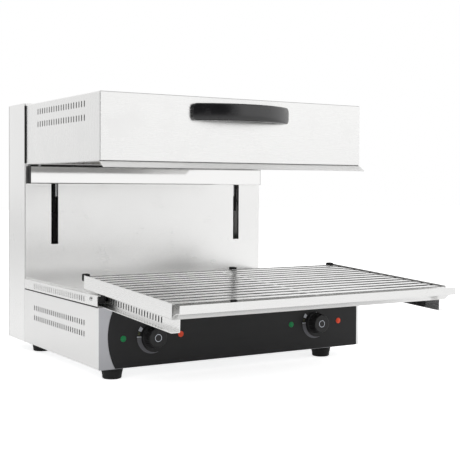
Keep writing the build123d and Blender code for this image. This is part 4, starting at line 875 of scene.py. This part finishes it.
# ---------------------------------------------------------------- handle
class MakeHandle(Operator):
    """Make the bow handle with its crowned, glossy grip"""

    bl_idname = "melter.handle"
    bl_label = "Handle"

    def execute(self, context):
        settings = context.scene.melter_handle
        half_length = high("handle").x
        half_height = half_size("handle").z
        middle_z = centre("handle").z
        wall_y = high("handle").y
        front_y = low("handle").y
        end_y, pocket_y = wall_y - 8.0, wall_y - 9.0
        pocket_half, grip_back_y = half_length - 20.0, front_y + 11.0
        corner = 7.0

        def bow(x, half, tip, top):
            """Depth of an arc through the two tips and the top at x."""
            rise = tip - top
            radius = (half * half + rise * rise) / (2 * rise)
            return top + radius - math.sqrt(max(radius * radius - x * x, 0.0))

        bm = bmesh.new()
        rings = []
        for x in self.stations(half_length, pocket_half, corner):
            outer = bow(x, half_length, end_y, front_y)
            if abs(x) < pocket_half:
                near_foot = smooth_step(abs(x), pocket_half - 4.0, pocket_half)
                inner = bow(x, pocket_half, pocket_y, grip_back_y)
                inner += near_foot ** 4 * (wall_y - inner) * 0.5
            else:
                inner = wall_y
            beyond = abs(x) - (half_length - corner)
            height = half_height
            if beyond > 0:
                height -= corner - math.sqrt(max(corner * corner - beyond * beyond, 0.0))
            rings.append(self.section(bm, x, outer, inner, height, middle_z, settings))
        skin(bm, rings)
        made("bow_handle", bm, "head", self.plastic(settings), ["handle"], 50.0)
        return {"FINISHED"}

    def stations(self, half_length, pocket_half, corner):
        """Places along the handle, closer together at its ends and at the pocket's corners."""
        side = [pocket_half * i / 26 for i in range(1, 25)]
        side += [pocket_half - step for step in (3.0, 2.0, 1.2, 0.6, 0.2)]
        side += [pocket_half + step for step in (0.1, 0.8, 4.0, 8.0)]
        side += [half_length - corner + corner * math.sin(i * math.pi / 16) for i in range(9)]
        side = sorted(side)
        return [-x for x in reversed(side)] + [0.0] + side

    def section(self, bm, x, outer, inner, height, middle_z, settings):
        """One closed ring across the handle: a crowned face, rounded edges and a flat back."""
        edge = min(settings.edge, (inner - outer) / 2.2, height * 0.45)
        points = []
        for across, up in rounded_loop((inner - outer) / 2, height, edge):
            crown = settings.crown * (up / height) ** 2 if across < 0 else 0.0
            points.append((x, (outer + inner) / 2 + across + crown, middle_z + up))
        return ring(bm, Matrix(), points)

    def plastic(self, settings):
        """Glossy black plastic with a faint orange-peel and rubbed edges."""
        gloss = Finish("handle_plastic", Specular_IOR_Level=0.75, Coat_Roughness=0.1)
        peel = gloss.noise(even(260.0), 2.0)
        wear = gloss.noise(even(40.0), 4.0).above(0.6, 0.3)
        gloss.paint(
            Base_Color=gloss.tone(wear, settings.colour, 1.0, 1.5),
            Roughness=0.2 + wear * 0.12 + (peel - 0.5) * 0.06,
            Coat_Weight=0.35 - wear * 0.2,
            Normal=gloss.bump(peel, 0.12, 0.0002),
        )
        return gloss.material


# ---------------------------------------------------------------- controls
class MakeKnobs(Operator):
    """Make the fluted knobs with their skirts, rings and index lines"""

    bl_idname = "melter.knobs"
    bl_label = "Knobs"

    def execute(self, context):
        settings = context.scene.melter_knobs
        black = moulding("knob_plastic", settings.colour, 0.42, 1600.0, 0.15, 0.4)
        ring_metal = polished_metal("knob_ring", (0.62, 0.65, 0.7), 0.22)
        index_paint = moulding("index_paint", settings.mark_colour, 0.5)
        ring_profile = [(6.0, 23.2), (7.0, 23.2), (7.2, 23.5), (7.0, 23.85), (6.2, 23.85),
                        (6.0, 23.5)]
        index_radius = 21.3
        for side, x in KNOB_X.items():
            body = f"knob_{side}_body"
            place = facing(FORWARDS, (x, high("knob_" + side).y, CONTROL_Z))
            bm = bmesh.new()
            lathe(bm, place, self.profile(), 8 * settings.flutes,
                  lambda angle, r, h: self.flute(angle, r, h, settings), closed=True)
            made(f"fluted_knob_{side}", bm, body, black, ["knob_" + side], 40.0)
            bm = bmesh.new()
            lathe(bm, place, ring_profile, closed=True)
            made(f"knob_ring_{side}", bm, body, ring_metal)
            bm = bmesh.new()
            stack(bm, place @ Matrix.Translation((0, index_radius, 0)),
                  [(height, 0.6, 0.7, 0.54) for height in (3.2, 4.06)], 3)
            made(f"knob_index_{side}", bm, body, index_paint)
        return {"FINISHED"}

    def profile(self):
        """Outline of a knob from its bore out over the skirt and flank to the dished face."""
        outline = [(3.0, 0.3), (3.4, 0.0), (21.4, 0.0), (22.0, 0.5), (22.0, 3.0), (21.7, 3.7),
                   (21.0, 4.0), (20.7, 4.15), (20.45, 4.6), (20.35, 5.6)]
        outline += [(20.35 - 2.1 * i / 12, 5.6 + 15.6 * i / 12) for i in range(1, 13)]
        outline += [(18.25 - 2.0 * (1 - math.cos(a)), 22.0 + 2.0 * math.sin(a))
                    for a in (QUARTER_TURN * i / 6 for i in range(7))]
        outline += [(15.0, 23.95), (13.0, 23.8), (9.4, 23.62), (8.6, 23.6), (8.3, 23.3),
                    (8.0, 23.2), (0.0, 23.2), (0.0, 12.0), (3.0, 12.0)]
        return outline

    def flute(self, angle, radius, height, settings):
        """Cuts rounded grip flutes into the flank, which run out before its two ends."""
        flank_radius, skirt_top = 16.0, 4.2
        if radius < flank_radius or height < skirt_top:
            return radius, height
        share = smooth_step(height, 4.4, 6.2) * (1 - smooth_step(height, 17.5, 21.0))
        wave = (0.5 + 0.5 * math.cos(settings.flutes * angle)) ** 1.6
        return radius - settings.flute_depth * share * wave, height


class PrintDials(Operator):
    """Print the crescent and the marks of each dial on the control panel"""

    bl_idname = "melter.dials"
    bl_label = "Dials"

    def execute(self, context):
        settings = context.scene.melter_knobs
        outer, width = settings.dial_radius, settings.dial_width + 0.4
        crescent = [(outer, width, 0.4, 182, 292)]
        marks = [(outer + 0.2, width, width, 176.5, 180.5), (outer, 6.6, 6.6, 141, 157)]
        low_marks = [(outer - 1.0, 4.5, 4.5, start, start + 3) for start in (162, 168)]
        ink = self.ink("dial_ink", settings.dial_colour)
        light = self.ink("mark_ink", settings.mark_colour)
        olive = self.ink("setting_ink", (0.12, 0.13, 0.05))
        for side, x in KNOB_X.items():
            place = facing(FORWARDS, (x, PANEL_Y, CONTROL_Z))
            self.print_bands(f"dial_crescent_{side}", place, crescent, ink)
            self.print_bands(f"dial_marks_{side}", place, marks, light)
            self.print_bands(f"dial_low_marks_{side}", place, low_marks, olive)
        return {"FINISHED"}

    def print_bands(self, name, place, bands, ink):
        """One print of bands, each an outer radius, two widths and two angles in degrees."""
        bm = bmesh.new()
        for outer, first_width, last_width, start, end in bands:
            steps = max(int((end - start) / 2.5), 3)
            rings = []
            for i in range(steps + 1):
                share = i / steps
                angle = math.radians(start + (end - start) * share)
                inner = outer - last_width - (first_width - last_width) * (1 - share ** 1.5)
                points = [(inner, -0.05), (outer, -0.05), (outer, 0.12), (inner, 0.12)]
                rings.append(ring(bm, place, [(r * math.cos(angle), r * math.sin(angle), z)
                                              for r, z in points]))
            skin(bm, rings)
        made(name, bm, "base", ink)

    def ink(self, name, colour):
        """Screen-printed ink: slightly mottled, with a fine grain."""
        layer = Finish(name, Specular_IOR_Level=0.4)
        mottle = layer.noise(even(500.0), 3.0)
        fine = layer.noise(even(2200.0), 2.0)
        layer.paint(
            Base_Color=layer.tone(mottle, colour, 0.85, 1.1),
            Roughness=0.4 + (fine - 0.5) * 0.2,
            Normal=layer.bump(fine, 0.1, 0.0001),
        )
        return layer.material


class FinishOverlay(Operator):
    """Give the control panel's film its fine matt texture"""

    bl_idname = "melter.overlay"
    bl_label = "Control panel film"

    def execute(self, context):
        film = Finish("overlay_film", Specular_IOR_Level=0.32)
        velvet = film.noise(even(1800.0), 2.0)
        wiped = film.noise((14.0, 60.0, 60.0), 3.0)
        film.paint(
            Base_Color=film.tone(wiped, FILM_TINT, 0.011, 0.017),
            Roughness=0.36 + (velvet - 0.5) * 0.16 + (wiped - 0.5) * 0.1,
            Normal=film.bump(velvet, 0.12, 0.0001),
        )
        dress(["control_overlay"], film.material)
        return {"FINISHED"}


class MakeLamps(Operator):
    """Make the pilot lamps: domed lenses on a flange, with their bodies and tabs behind"""

    bl_idname = "melter.lamps"
    bl_label = "Pilot lamps"

    def execute(self, context):
        settings = context.scene.melter_lamps
        self.lamps("green", settings.green)
        self.lamps("orange", settings.red)
        return {"FINISHED"}

    def lamps(self, group, colour):
        """Both lamps of one colour, and the brass tabs at their backs."""
        node = group + "_lamps"
        radius = half_size(node).z
        proud = PANEL_Y - low(node).y
        places = (low(node).x + radius, high(node).x - radius)
        bm = bmesh.new()
        tabs = bmesh.new()
        for x in places:
            place = facing(FORWARDS, (x, PANEL_Y, CONTROL_Z))
            lathe(bm, place, self.profile(radius, proud), 48)
            for offset in (-2.4, 2.4):
                stack(tabs, place @ Matrix.Translation((offset, 0, 0)),
                      [(height, 1.4, 0.4, 0.2) for height in (-26.0, -21.0)], 2)
        made(f"{group}_pilot_lenses", bm, "base", lens(f"{group}_lens", colour),
             [node], 30.0)
        brass = polished_metal(f"{group}_lamp_brass", BRASS, 0.25)
        made(f"{group}_lamp_tabs", tabs, "base", brass)

    def profile(self, radius, proud):
        """Body behind the panel, then the flange and a dome of stepped prism rings."""
        flange_rise, dome_steps, ridge = 0.85, 9, 0.05
        outline = [(0.0, -21.5), (4.2, -21.5), (4.5, -21.2), (4.5, 0.0), (radius, 0.0),
                   (radius, 0.55), (radius - 0.25, 0.8), (radius - 0.9, flange_rise)]
        dome = radius - 1.0
        for i in range(1, dome_steps):
            share = i / dome_steps
            rise = flange_rise + (proud - flange_rise) * math.sqrt(1 - (1 - share) ** 2)
            outline.append((dome * (1 - share), rise + (ridge if i % 2 else -ridge)))
        outline.append((0.0, proud))
        return outline


# ---------------------------------------------------------------- rubber parts
class MakeFeet(Operator):
    """Make the rubber feet with rounded bottoms and moulded rings"""

    bl_idname = "melter.feet"
    bl_label = "Feet"

    def execute(self, context):
        settings = context.scene.melter_rubber
        radius, height, edge = 20.5, BASE_BOTTOM_Z, settings.foot_edge
        first, last = low("feet"), high("feet")
        outline = [(2.4, height), (radius - 0.4, height), (radius, height - 0.5),
                   (radius, height - 2.4), (radius - 0.5, height - 2.9),
                   (radius - 0.2, height - 3.6)]
        outline += [(radius - 0.3 - 2.6 * i / 6, height - 3.6 - 12.6 * i / 6)
                    for i in range(1, 6)]
        outline += [(17.9 - edge * (1 - math.cos(a)), edge - edge * math.sin(a))
                    for a in (QUARTER_TURN * i / 6 for i in range(7))]
        outline += [(13.2, 0.0), (12.7, 0.5), (11.7, 0.5), (11.2, 0.0), (5.2, 0.0), (4.4, 0.6),
                    (4.4, 8.0), (2.4, 8.0)]
        bm = bmesh.new()
        for x in (first.x + radius, last.x - radius):
            for y in (first.y + radius, last.y - radius):
                lathe(bm, facing(UPWARDS, (x, y, 0)), outline, closed=True)
        made("rubber_feet", bm, "base", rubber("foot_rubber", settings.colour),
             ["feet"], 40.0)
        return {"FINISHED"}


class MakeBuffers(Operator):
    """Make the ribbed rubber buffers behind the tray and the grip clip on its front wall"""

    bl_idname = "melter.buffers"
    bl_label = "Tray buffers"

    def execute(self, context):
        settings = context.scene.melter_rubber
        bm = bmesh.new()
        for x in (-288.0, 38.0, 288.0):
            self.buffer(bm, x)
        for x in (-182.1, -175.9):
            self.clip(bm, x)
        made("rubber_buffers", bm, "tray", rubber("buffer_rubber", settings.colour),
             ["tray_buffers"], 45.0)
        return {"FINISHED"}

    def buffer(self, bm, x):
        """Block that narrows in two grooves and ends in a rounded nose."""
        middle_w = 22.6
        sizes = [(75.0, 0.86), (75.0, 1.0), (77.4, 1.0), (78.0, 0.84), (78.8, 0.84), (79.4, 1.0),
                 (81.4, 1.0), (82.0, 0.84), (82.8, 0.84), (83.4, 1.0), (85.6, 0.97),
                 (86.6, 0.88), (87.0, 0.74)]
        stack(bm, TRAY @ facing(BACKWARDS, (x, 0.0, middle_w)),
              [(v, 6.0 * size, 7.0 * size, 1.8 * size) for v, size in sizes])

    def clip(self, bm, x):
        """Half of the clip: a rounded lug beside the other half, over the front wall."""
        wall_v = -272.4
        sizes = [(19.7, 0.8), (20.2, 1.0), (26.0, 1.0), (27.0, 0.86), (27.6, 0.55)]
        stack(bm, TRAY @ Matrix.Translation((x, wall_v, 0.0)),
              [(w, 2.8 * size, 2.9 * size, 1.2 * size) for w, size in sizes])


# ---------------------------------------------------------------- fasteners
# Every screw's head has this radius and rise.
SCREW_RADIUS = 4.0
SCREW_RISE = 2.4
THREAD_PITCH = 0.8


class MakeScrews(Operator):
    """Make the pan-head screws with their cross recesses and threads"""

    bl_idname = "melter.screws"
    bl_label = "Screws"

    def execute(self, context):
        zinc = polished_metal("zinc_plating", (0.66, 0.67, 0.69), 0.26)
        steel = polished_metal("stainless_screw", (0.74, 0.74, 0.74), 0.2)
        self.group("runner_screws", "base", "x", steel)
        self.group("cover_screws", "base", "+y", steel)
        self.group("arm_screws", "head", "-y", zinc)
        self.group("handle_screws", "head", "+y", zinc)
        self.group("foot_screws", "base", "-z", zinc)
        return {"FINISHED"}

    def group(self, node, body, axis, material):
        """Stands a detailed screw on each screw of a CAD node. Heads face along the axis."""
        bm = bmesh.new()
        for seat, direction, grip in self.places(node, axis):
            lathe(bm, facing(direction, seat), self.profile(grip), 40, self.recess)
        made("cross_" + node, bm, body, material, [node], 40.0)

    def places(self, node, axis):
        """Where each head's seat is, the way it faces and the length of its shank."""
        runner_shank, arm_pitch, cover_rows = 8.2, 24.0, 4
        first, last, middle = low(node), high(node), centre(node)
        left, right = first.x + SCREW_RADIUS, last.x - SCREW_RADIUS
        if axis == "x":
            seat_x = last.x - SCREW_RISE
            return [((side * seat_x, middle.y, middle.z), (side, 0, 0), runner_shank)
                    for side in SIDES]
        if axis == "-z":
            return [((x, y, first.z + SCREW_RISE), DOWNWARDS, last.z - first.z - SCREW_RISE)
                    for x in (left, right)
                    for y in (first.y + SCREW_RADIUS, last.y - SCREW_RADIUS)]
        bottom, top = first.z + SCREW_RADIUS, last.z - SCREW_RADIUS
        if node == "cover_screws":
            heights = [bottom + (top - bottom) * i / (cover_rows - 1) for i in range(cover_rows)]
            spots = [(x, z) for x in (left, right) for z in heights]
        elif node == "arm_screws":
            inner = right - arm_pitch
            spots = [(x, z) for x in (-right, -inner, inner, right) for z in (bottom, top)]
        else:
            spots = [(x, middle.z) for x in (left, right)]
        direction = BACKWARDS if axis == "+y" else FORWARDS
        seat_y = last.y - SCREW_RISE if axis == "+y" else first.y + SCREW_RISE
        grip = last.y - first.y - SCREW_RISE
        return [((x, seat_y, z), direction, grip) for x, z in spots]

    def profile(self, grip):
        """Pointed threaded shank, flat seat and low domed head."""
        outline = [(0.0, -grip), (1.3, -grip), (1.7, 0.6 - grip)]
        for i in range(int((grip - 1.4) / THREAD_PITCH)):
            start = THREAD_PITCH * i - grip
            outline += [(2.0, start + 0.9), (1.6, start + 1.3)]
        outline += [(1.7, -0.1), (1.7, 0.0), (3.9, 0.0), (SCREW_RADIUS, 0.15), (SCREW_RADIUS, 1.0),
                    (3.85, 1.5), (3.5, 1.85)]
        outline += [(radius / 10, 1.85 + 0.55 * (1 - (radius / 35) ** 2))
                    for radius in range(32, 0, -3)]
        outline.append((0.0, SCREW_RISE))
        return outline

    def recess(self, angle, radius, height):
        """Sinks the cross recess into the top of the head."""
        head_shoulder, recess_radius, recess_depth = 1.4, 2.4, 1.3
        if height < head_shoulder or radius > recess_radius:
            return radius, height
        across = radius * min(abs(math.cos(angle)), abs(math.sin(angle)))
        share = (1 - smooth_step(across, 0.35, 0.6)) * (1 - smooth_step(radius, 1.9, recess_radius))
        return radius, height - recess_depth * share


class MakeGland(Operator):
    """Make the cable gland with its ribbed dome nut, seal and locknut"""

    bl_idname = "melter.gland"
    bl_label = "Cable gland"

    def execute(self, context):
        black = moulding("gland_nylon", BLACK_NYLON, 0.38)
        middle = centre("cable_gland")
        back_y, sheet = high("back_cover").y, 1.2
        place = facing(BACKWARDS, (middle.x, back_y, middle.z))
        bm = bmesh.new()
        hexagon = [(9.0, 0.0), (10.6, 0.0), (11.0, 0.5), (11.0, 5.0), (10.5, 5.6), (9.0, 5.6)]
        lathe(bm, place, hexagon, 6, closed=True)
        lathe(bm, place, [(4.6, -7.4), (7.8, -7.4), (8.0, -7.2), (8.0, 5.6), (4.6, 5.6)],
              closed=True)
        dome = [(4.5, 5.6), (9.0, 5.6), (9.2, 6.0), (9.2, 9.6), (8.8, 10.6), (8.0, 12.0),
                (6.9, 13.2), (5.6, 13.9), (4.9, 14.0), (4.5, 13.7)]
        lathe(bm, place, dome, 96, self.rib, closed=True)
        nut = facing(FORWARDS, (middle.x, back_y - sheet, middle.z))
        lathe(bm, nut, [(8.1, 0.0), (10.6, 0.0), (11.0, 0.5), (11.0, 5.8), (10.5, 6.3),
                        (8.1, 6.3)], 6, closed=True)
        made("cable_gland_body", bm, "base", black, ["cable_gland"])
        seal = bmesh.new()
        lathe(seal, place, [(3.9, 9.0), (4.7, 9.0), (4.7, 13.2), (3.9, 13.5)], closed=True)
        made("cable_gland_seal", seal, "base", rubber("seal_rubber", (0.02, 0.02, 0.02)))
        return {"FINISHED"}

    def rib(self, angle, radius, height):
        """Grip ribs round the dome nut."""
        ribs, rib_depth = 16, 0.45
        if radius < 7.5 or not 5.9 < height < 12.5:
            return radius, height
        return radius - rib_depth * (0.5 + 0.5 * math.cos(ribs * angle)) ** 2, height


# ---------------------------------------------------------------- heater and insides
class MakeInsulation(Operator):
    """Make the puffy mineral-wool slab over the reflector"""

    bl_idname = "melter.insulation"
    bl_label = "Mineral wool"

    def execute(self, context):
        settings = context.scene.melter_heater
        middle, half = centre("insulation"), half_size("insulation")
        bm = bmesh.new()
        columns, rows = 90, 54
        layers = []
        for way in (-1, 1):
            layer = {}
            for i in range(columns + 1):
                for j in range(rows + 1):
                    u, v = 2 * i / columns - 1, 2 * j / rows - 1
                    layer[i, j] = bm.verts.new(self.tuft(u, v, way, half, middle))
            layers.append(layer)
            for i in range(columns):
                for j in range(rows):
                    bm.faces.new([layer[i, j], layer[i + 1, j], layer[i + 1, j + 1],
                                  layer[i, j + 1]])
        edge = [(i, 0) for i in range(columns)] + [(columns, j) for j in range(rows)]
        edge += [(i, rows) for i in range(columns, 0, -1)] + [(0, j) for j in range(rows, 0, -1)]
        join(bm, [layers[0][spot] for spot in edge], [layers[1][spot] for spot in edge])
        made("mineral_wool_slab", bm, "head", self.wool(settings),
             ["insulation"], 80.0)
        return {"FINISHED"}

    def tuft(self, u, v, way, half, middle):
        """A point of the slab's top or bottom, drawn in at the rim and tufted by noise."""
        tuft_width, tuft_rise = 22, 1.3
        sag = smooth_step(max(abs(u), abs(v)), 0.9, 1.0)
        spot = Vector((u * half.x / tuft_width, v * half.y / tuft_width, way * 3.0))
        tufts = noise.fractal(spot, 0.8, 2.1, 4)
        pull = 1 - 0.006 * sag * (1 + noise.noise(spot * 2.0))
        level = 0.1 + 2.0 * sag - half.z
        if way > 0:
            level = half.z * (1 - 0.35 * sag) - 1.4 + tuft_rise * max(min(tufts, 1.0), -1.0)
        return middle + Vector((u * half.x * pull, v * half.y * pull, level))

    def wool(self, settings):
        """Felted fibres: streaky colour, no gloss and a coarse nap."""
        felt = Finish("mineral_wool", Specular_IOR_Level=0.1, Sheen_Weight=0.3)
        strands = felt.noise((260.0, 90.0, 400.0), 6.0, 0.7)
        clumps = felt.noise(even(35.0), 4.0)
        felt.paint(
            Base_Color=felt.tone(strands * 0.6 + clumps * 0.4, settings.wool_colour, 0.6, 1.2),
            Roughness=0.92 + (strands - 0.5) * 0.1,
            Normal=felt.bump(strands, 0.8, 0.0015),
        )
        return felt.material


class FinishHeater(Operator):
    """Give the elements, the reflector and the switchgear their finishes"""

    bl_idname = "melter.finish_heater"
    bl_label = "Heater and switchgear"

    def execute(self, context):
        settings = context.scene.melter_heater
        dress(["heating_element_left", "heating_element_right"], self.sheath(settings))
        dress(["reflector"], self.heated_sheet())
        cream = moulding("cream_thermoset", (0.72, 0.68, 0.58), 0.45)
        dress(["energy_regulator_left", "energy_regulator_right"], cream)
        dress(["terminal_block"], moulding("white_nylon", (0.8, 0.8, 0.78), 0.4))
        soften(["terminal_block"], 0.6)
        self.add_clamps()
        return {"FINISHED"}

    def sheath(self, settings):
        """Annealed element sheath: dull oxide with straw tints in patches."""
        tube = Finish("element_sheath", Metallic=0.75)
        tints = tube.noise(even(18.0), 3.0).above(0.58, 0.2)
        scale = tube.noise(even(400.0), 4.0)
        dull, straw = shade(1.0, settings.sheath_colour), shade(1.0, (0.34, 0.26, 0.17))
        tube.paint(
            Base_Color=tube.mix(tints * 0.6, dull, straw),
            Roughness=0.5 + (scale - 0.5) * 0.3,
            Normal=tube.bump(scale, 0.2, 0.0002),
        )
        return tube.material

    def heated_sheet(self):
        """Aluminised reflector, discoloured in soft patches by the heat."""
        sheet = Finish("reflector_sheet", Metallic=1.0)
        patches = sheet.noise(even(14.0), 3.0).above(0.55, 0.3)
        haze = sheet.noise(even(120.0), 4.0)
        sheet.paint(
            Base_Color=sheet.mix(patches * 0.7, shade(0.8), shade(0.75, (0.92, 0.8, 0.6))),
            Roughness=0.28 + (haze - 0.5) * 0.2 + patches * 0.12,
            Normal=sheet.bump(haze, 0.1, 0.0004),
        )
        return sheet.material

    def add_clamps(self):
        """Brass clamp screws in the wells of the terminal block."""
        poles, well_depth = 6, 5.0
        middle, half = centre("terminal_block"), half_size("terminal_block")
        screw = [(0.0, -6.0), (2.8, -6.0), (2.8, 0.6), (2.5, 0.9), (1.6, 0.9), (0.8, 0.9),
                 (0.0, 0.9)]
        bm = bmesh.new()
        for i in range(poles):
            for side in SIDES:
                spot = (middle.x + (2 * i + 1 - poles) * half.x / poles,
                        middle.y + side * half.y / 2, middle.z + half.z - well_depth)
                lathe(bm, facing(UPWARDS, spot), screw, 32, self.slit)
        brass = polished_metal("clamp_brass", BRASS, 0.25)
        made("terminal_clamps", bm, "base", brass)

    def slit(self, angle, radius, height):
        """Driver slot across a clamp screw."""
        slit_depth = 0.8
        if height < 0.7 or radius > 2.6:
            return radius, height
        across = abs(radius * math.sin(angle))
        return radius, height - slit_depth * (1 - smooth_step(across, 0.3, 0.5))


# ---------------------------------------------------------------- panel and registration
class MelterPanel(Panel):
    """The steps that dress the cheese melter"""

    bl_idname = "VIEW3D_PT_melter"
    bl_label = "Cheese melter"
    bl_space_type = "VIEW_3D"
    bl_region_type = "UI"
    bl_category = "Cheese melter"

    def draw(self, context):
        for operator in OPERATORS:
            self.layout.operator(operator.bl_idname)


SETTINGS = {
    "melter_stage": StageSettings,
    "melter_steel": SteelSettings,
    "melter_handle": HandleSettings,
    "melter_knobs": KnobSettings,
    "melter_lamps": LampSettings,
    "melter_rubber": RubberSettings,
    "melter_heater": HeaterSettings,
}
OPERATORS = (
    SetStage, FinishSheets, FinishTray, MakeTrim, MakeVentShadeLiners, MakeHandle, FinishOverlay,
    PrintDials, MakeKnobs, MakeLamps, MakeFeet, MakeBuffers, MakeScrews, MakeGland, MakeInsulation,
    FinishHeater,
)


def register():
    """Registers the settings, the steps and the panel."""
    for kind in (*SETTINGS.values(), *OPERATORS, MelterPanel):
        bpy.utils.register_class(kind)
    for name, kind in SETTINGS.items():
        setattr(bpy.types.Scene, name, PointerProperty(type=kind))


def unregister():
    """Takes them away again."""
    for name in SETTINGS:
        delattr(bpy.types.Scene, name)
    for kind in reversed((*SETTINGS.values(), *OPERATORS, MelterPanel)):
        bpy.utils.unregister_class(kind)


def main():
    """Runs the steps in order."""
    register()
    bpy.ops.melter.stage()
    bpy.ops.melter.finish_sheets()
    bpy.ops.melter.finish_tray()
    bpy.ops.melter.trim()
    bpy.ops.melter.vent_liners()
    bpy.ops.melter.handle()
    bpy.ops.melter.overlay()
    bpy.ops.melter.dials()
    bpy.ops.melter.knobs()
    bpy.ops.melter.lamps()
    bpy.ops.melter.feet()
    bpy.ops.melter.buffers()
    bpy.ops.melter.screws()
    bpy.ops.melter.gland()
    bpy.ops.melter.insulation()
    bpy.ops.melter.finish_heater()
    bpy.context.view_layer.update()


if __name__ == "__main__":
    main()
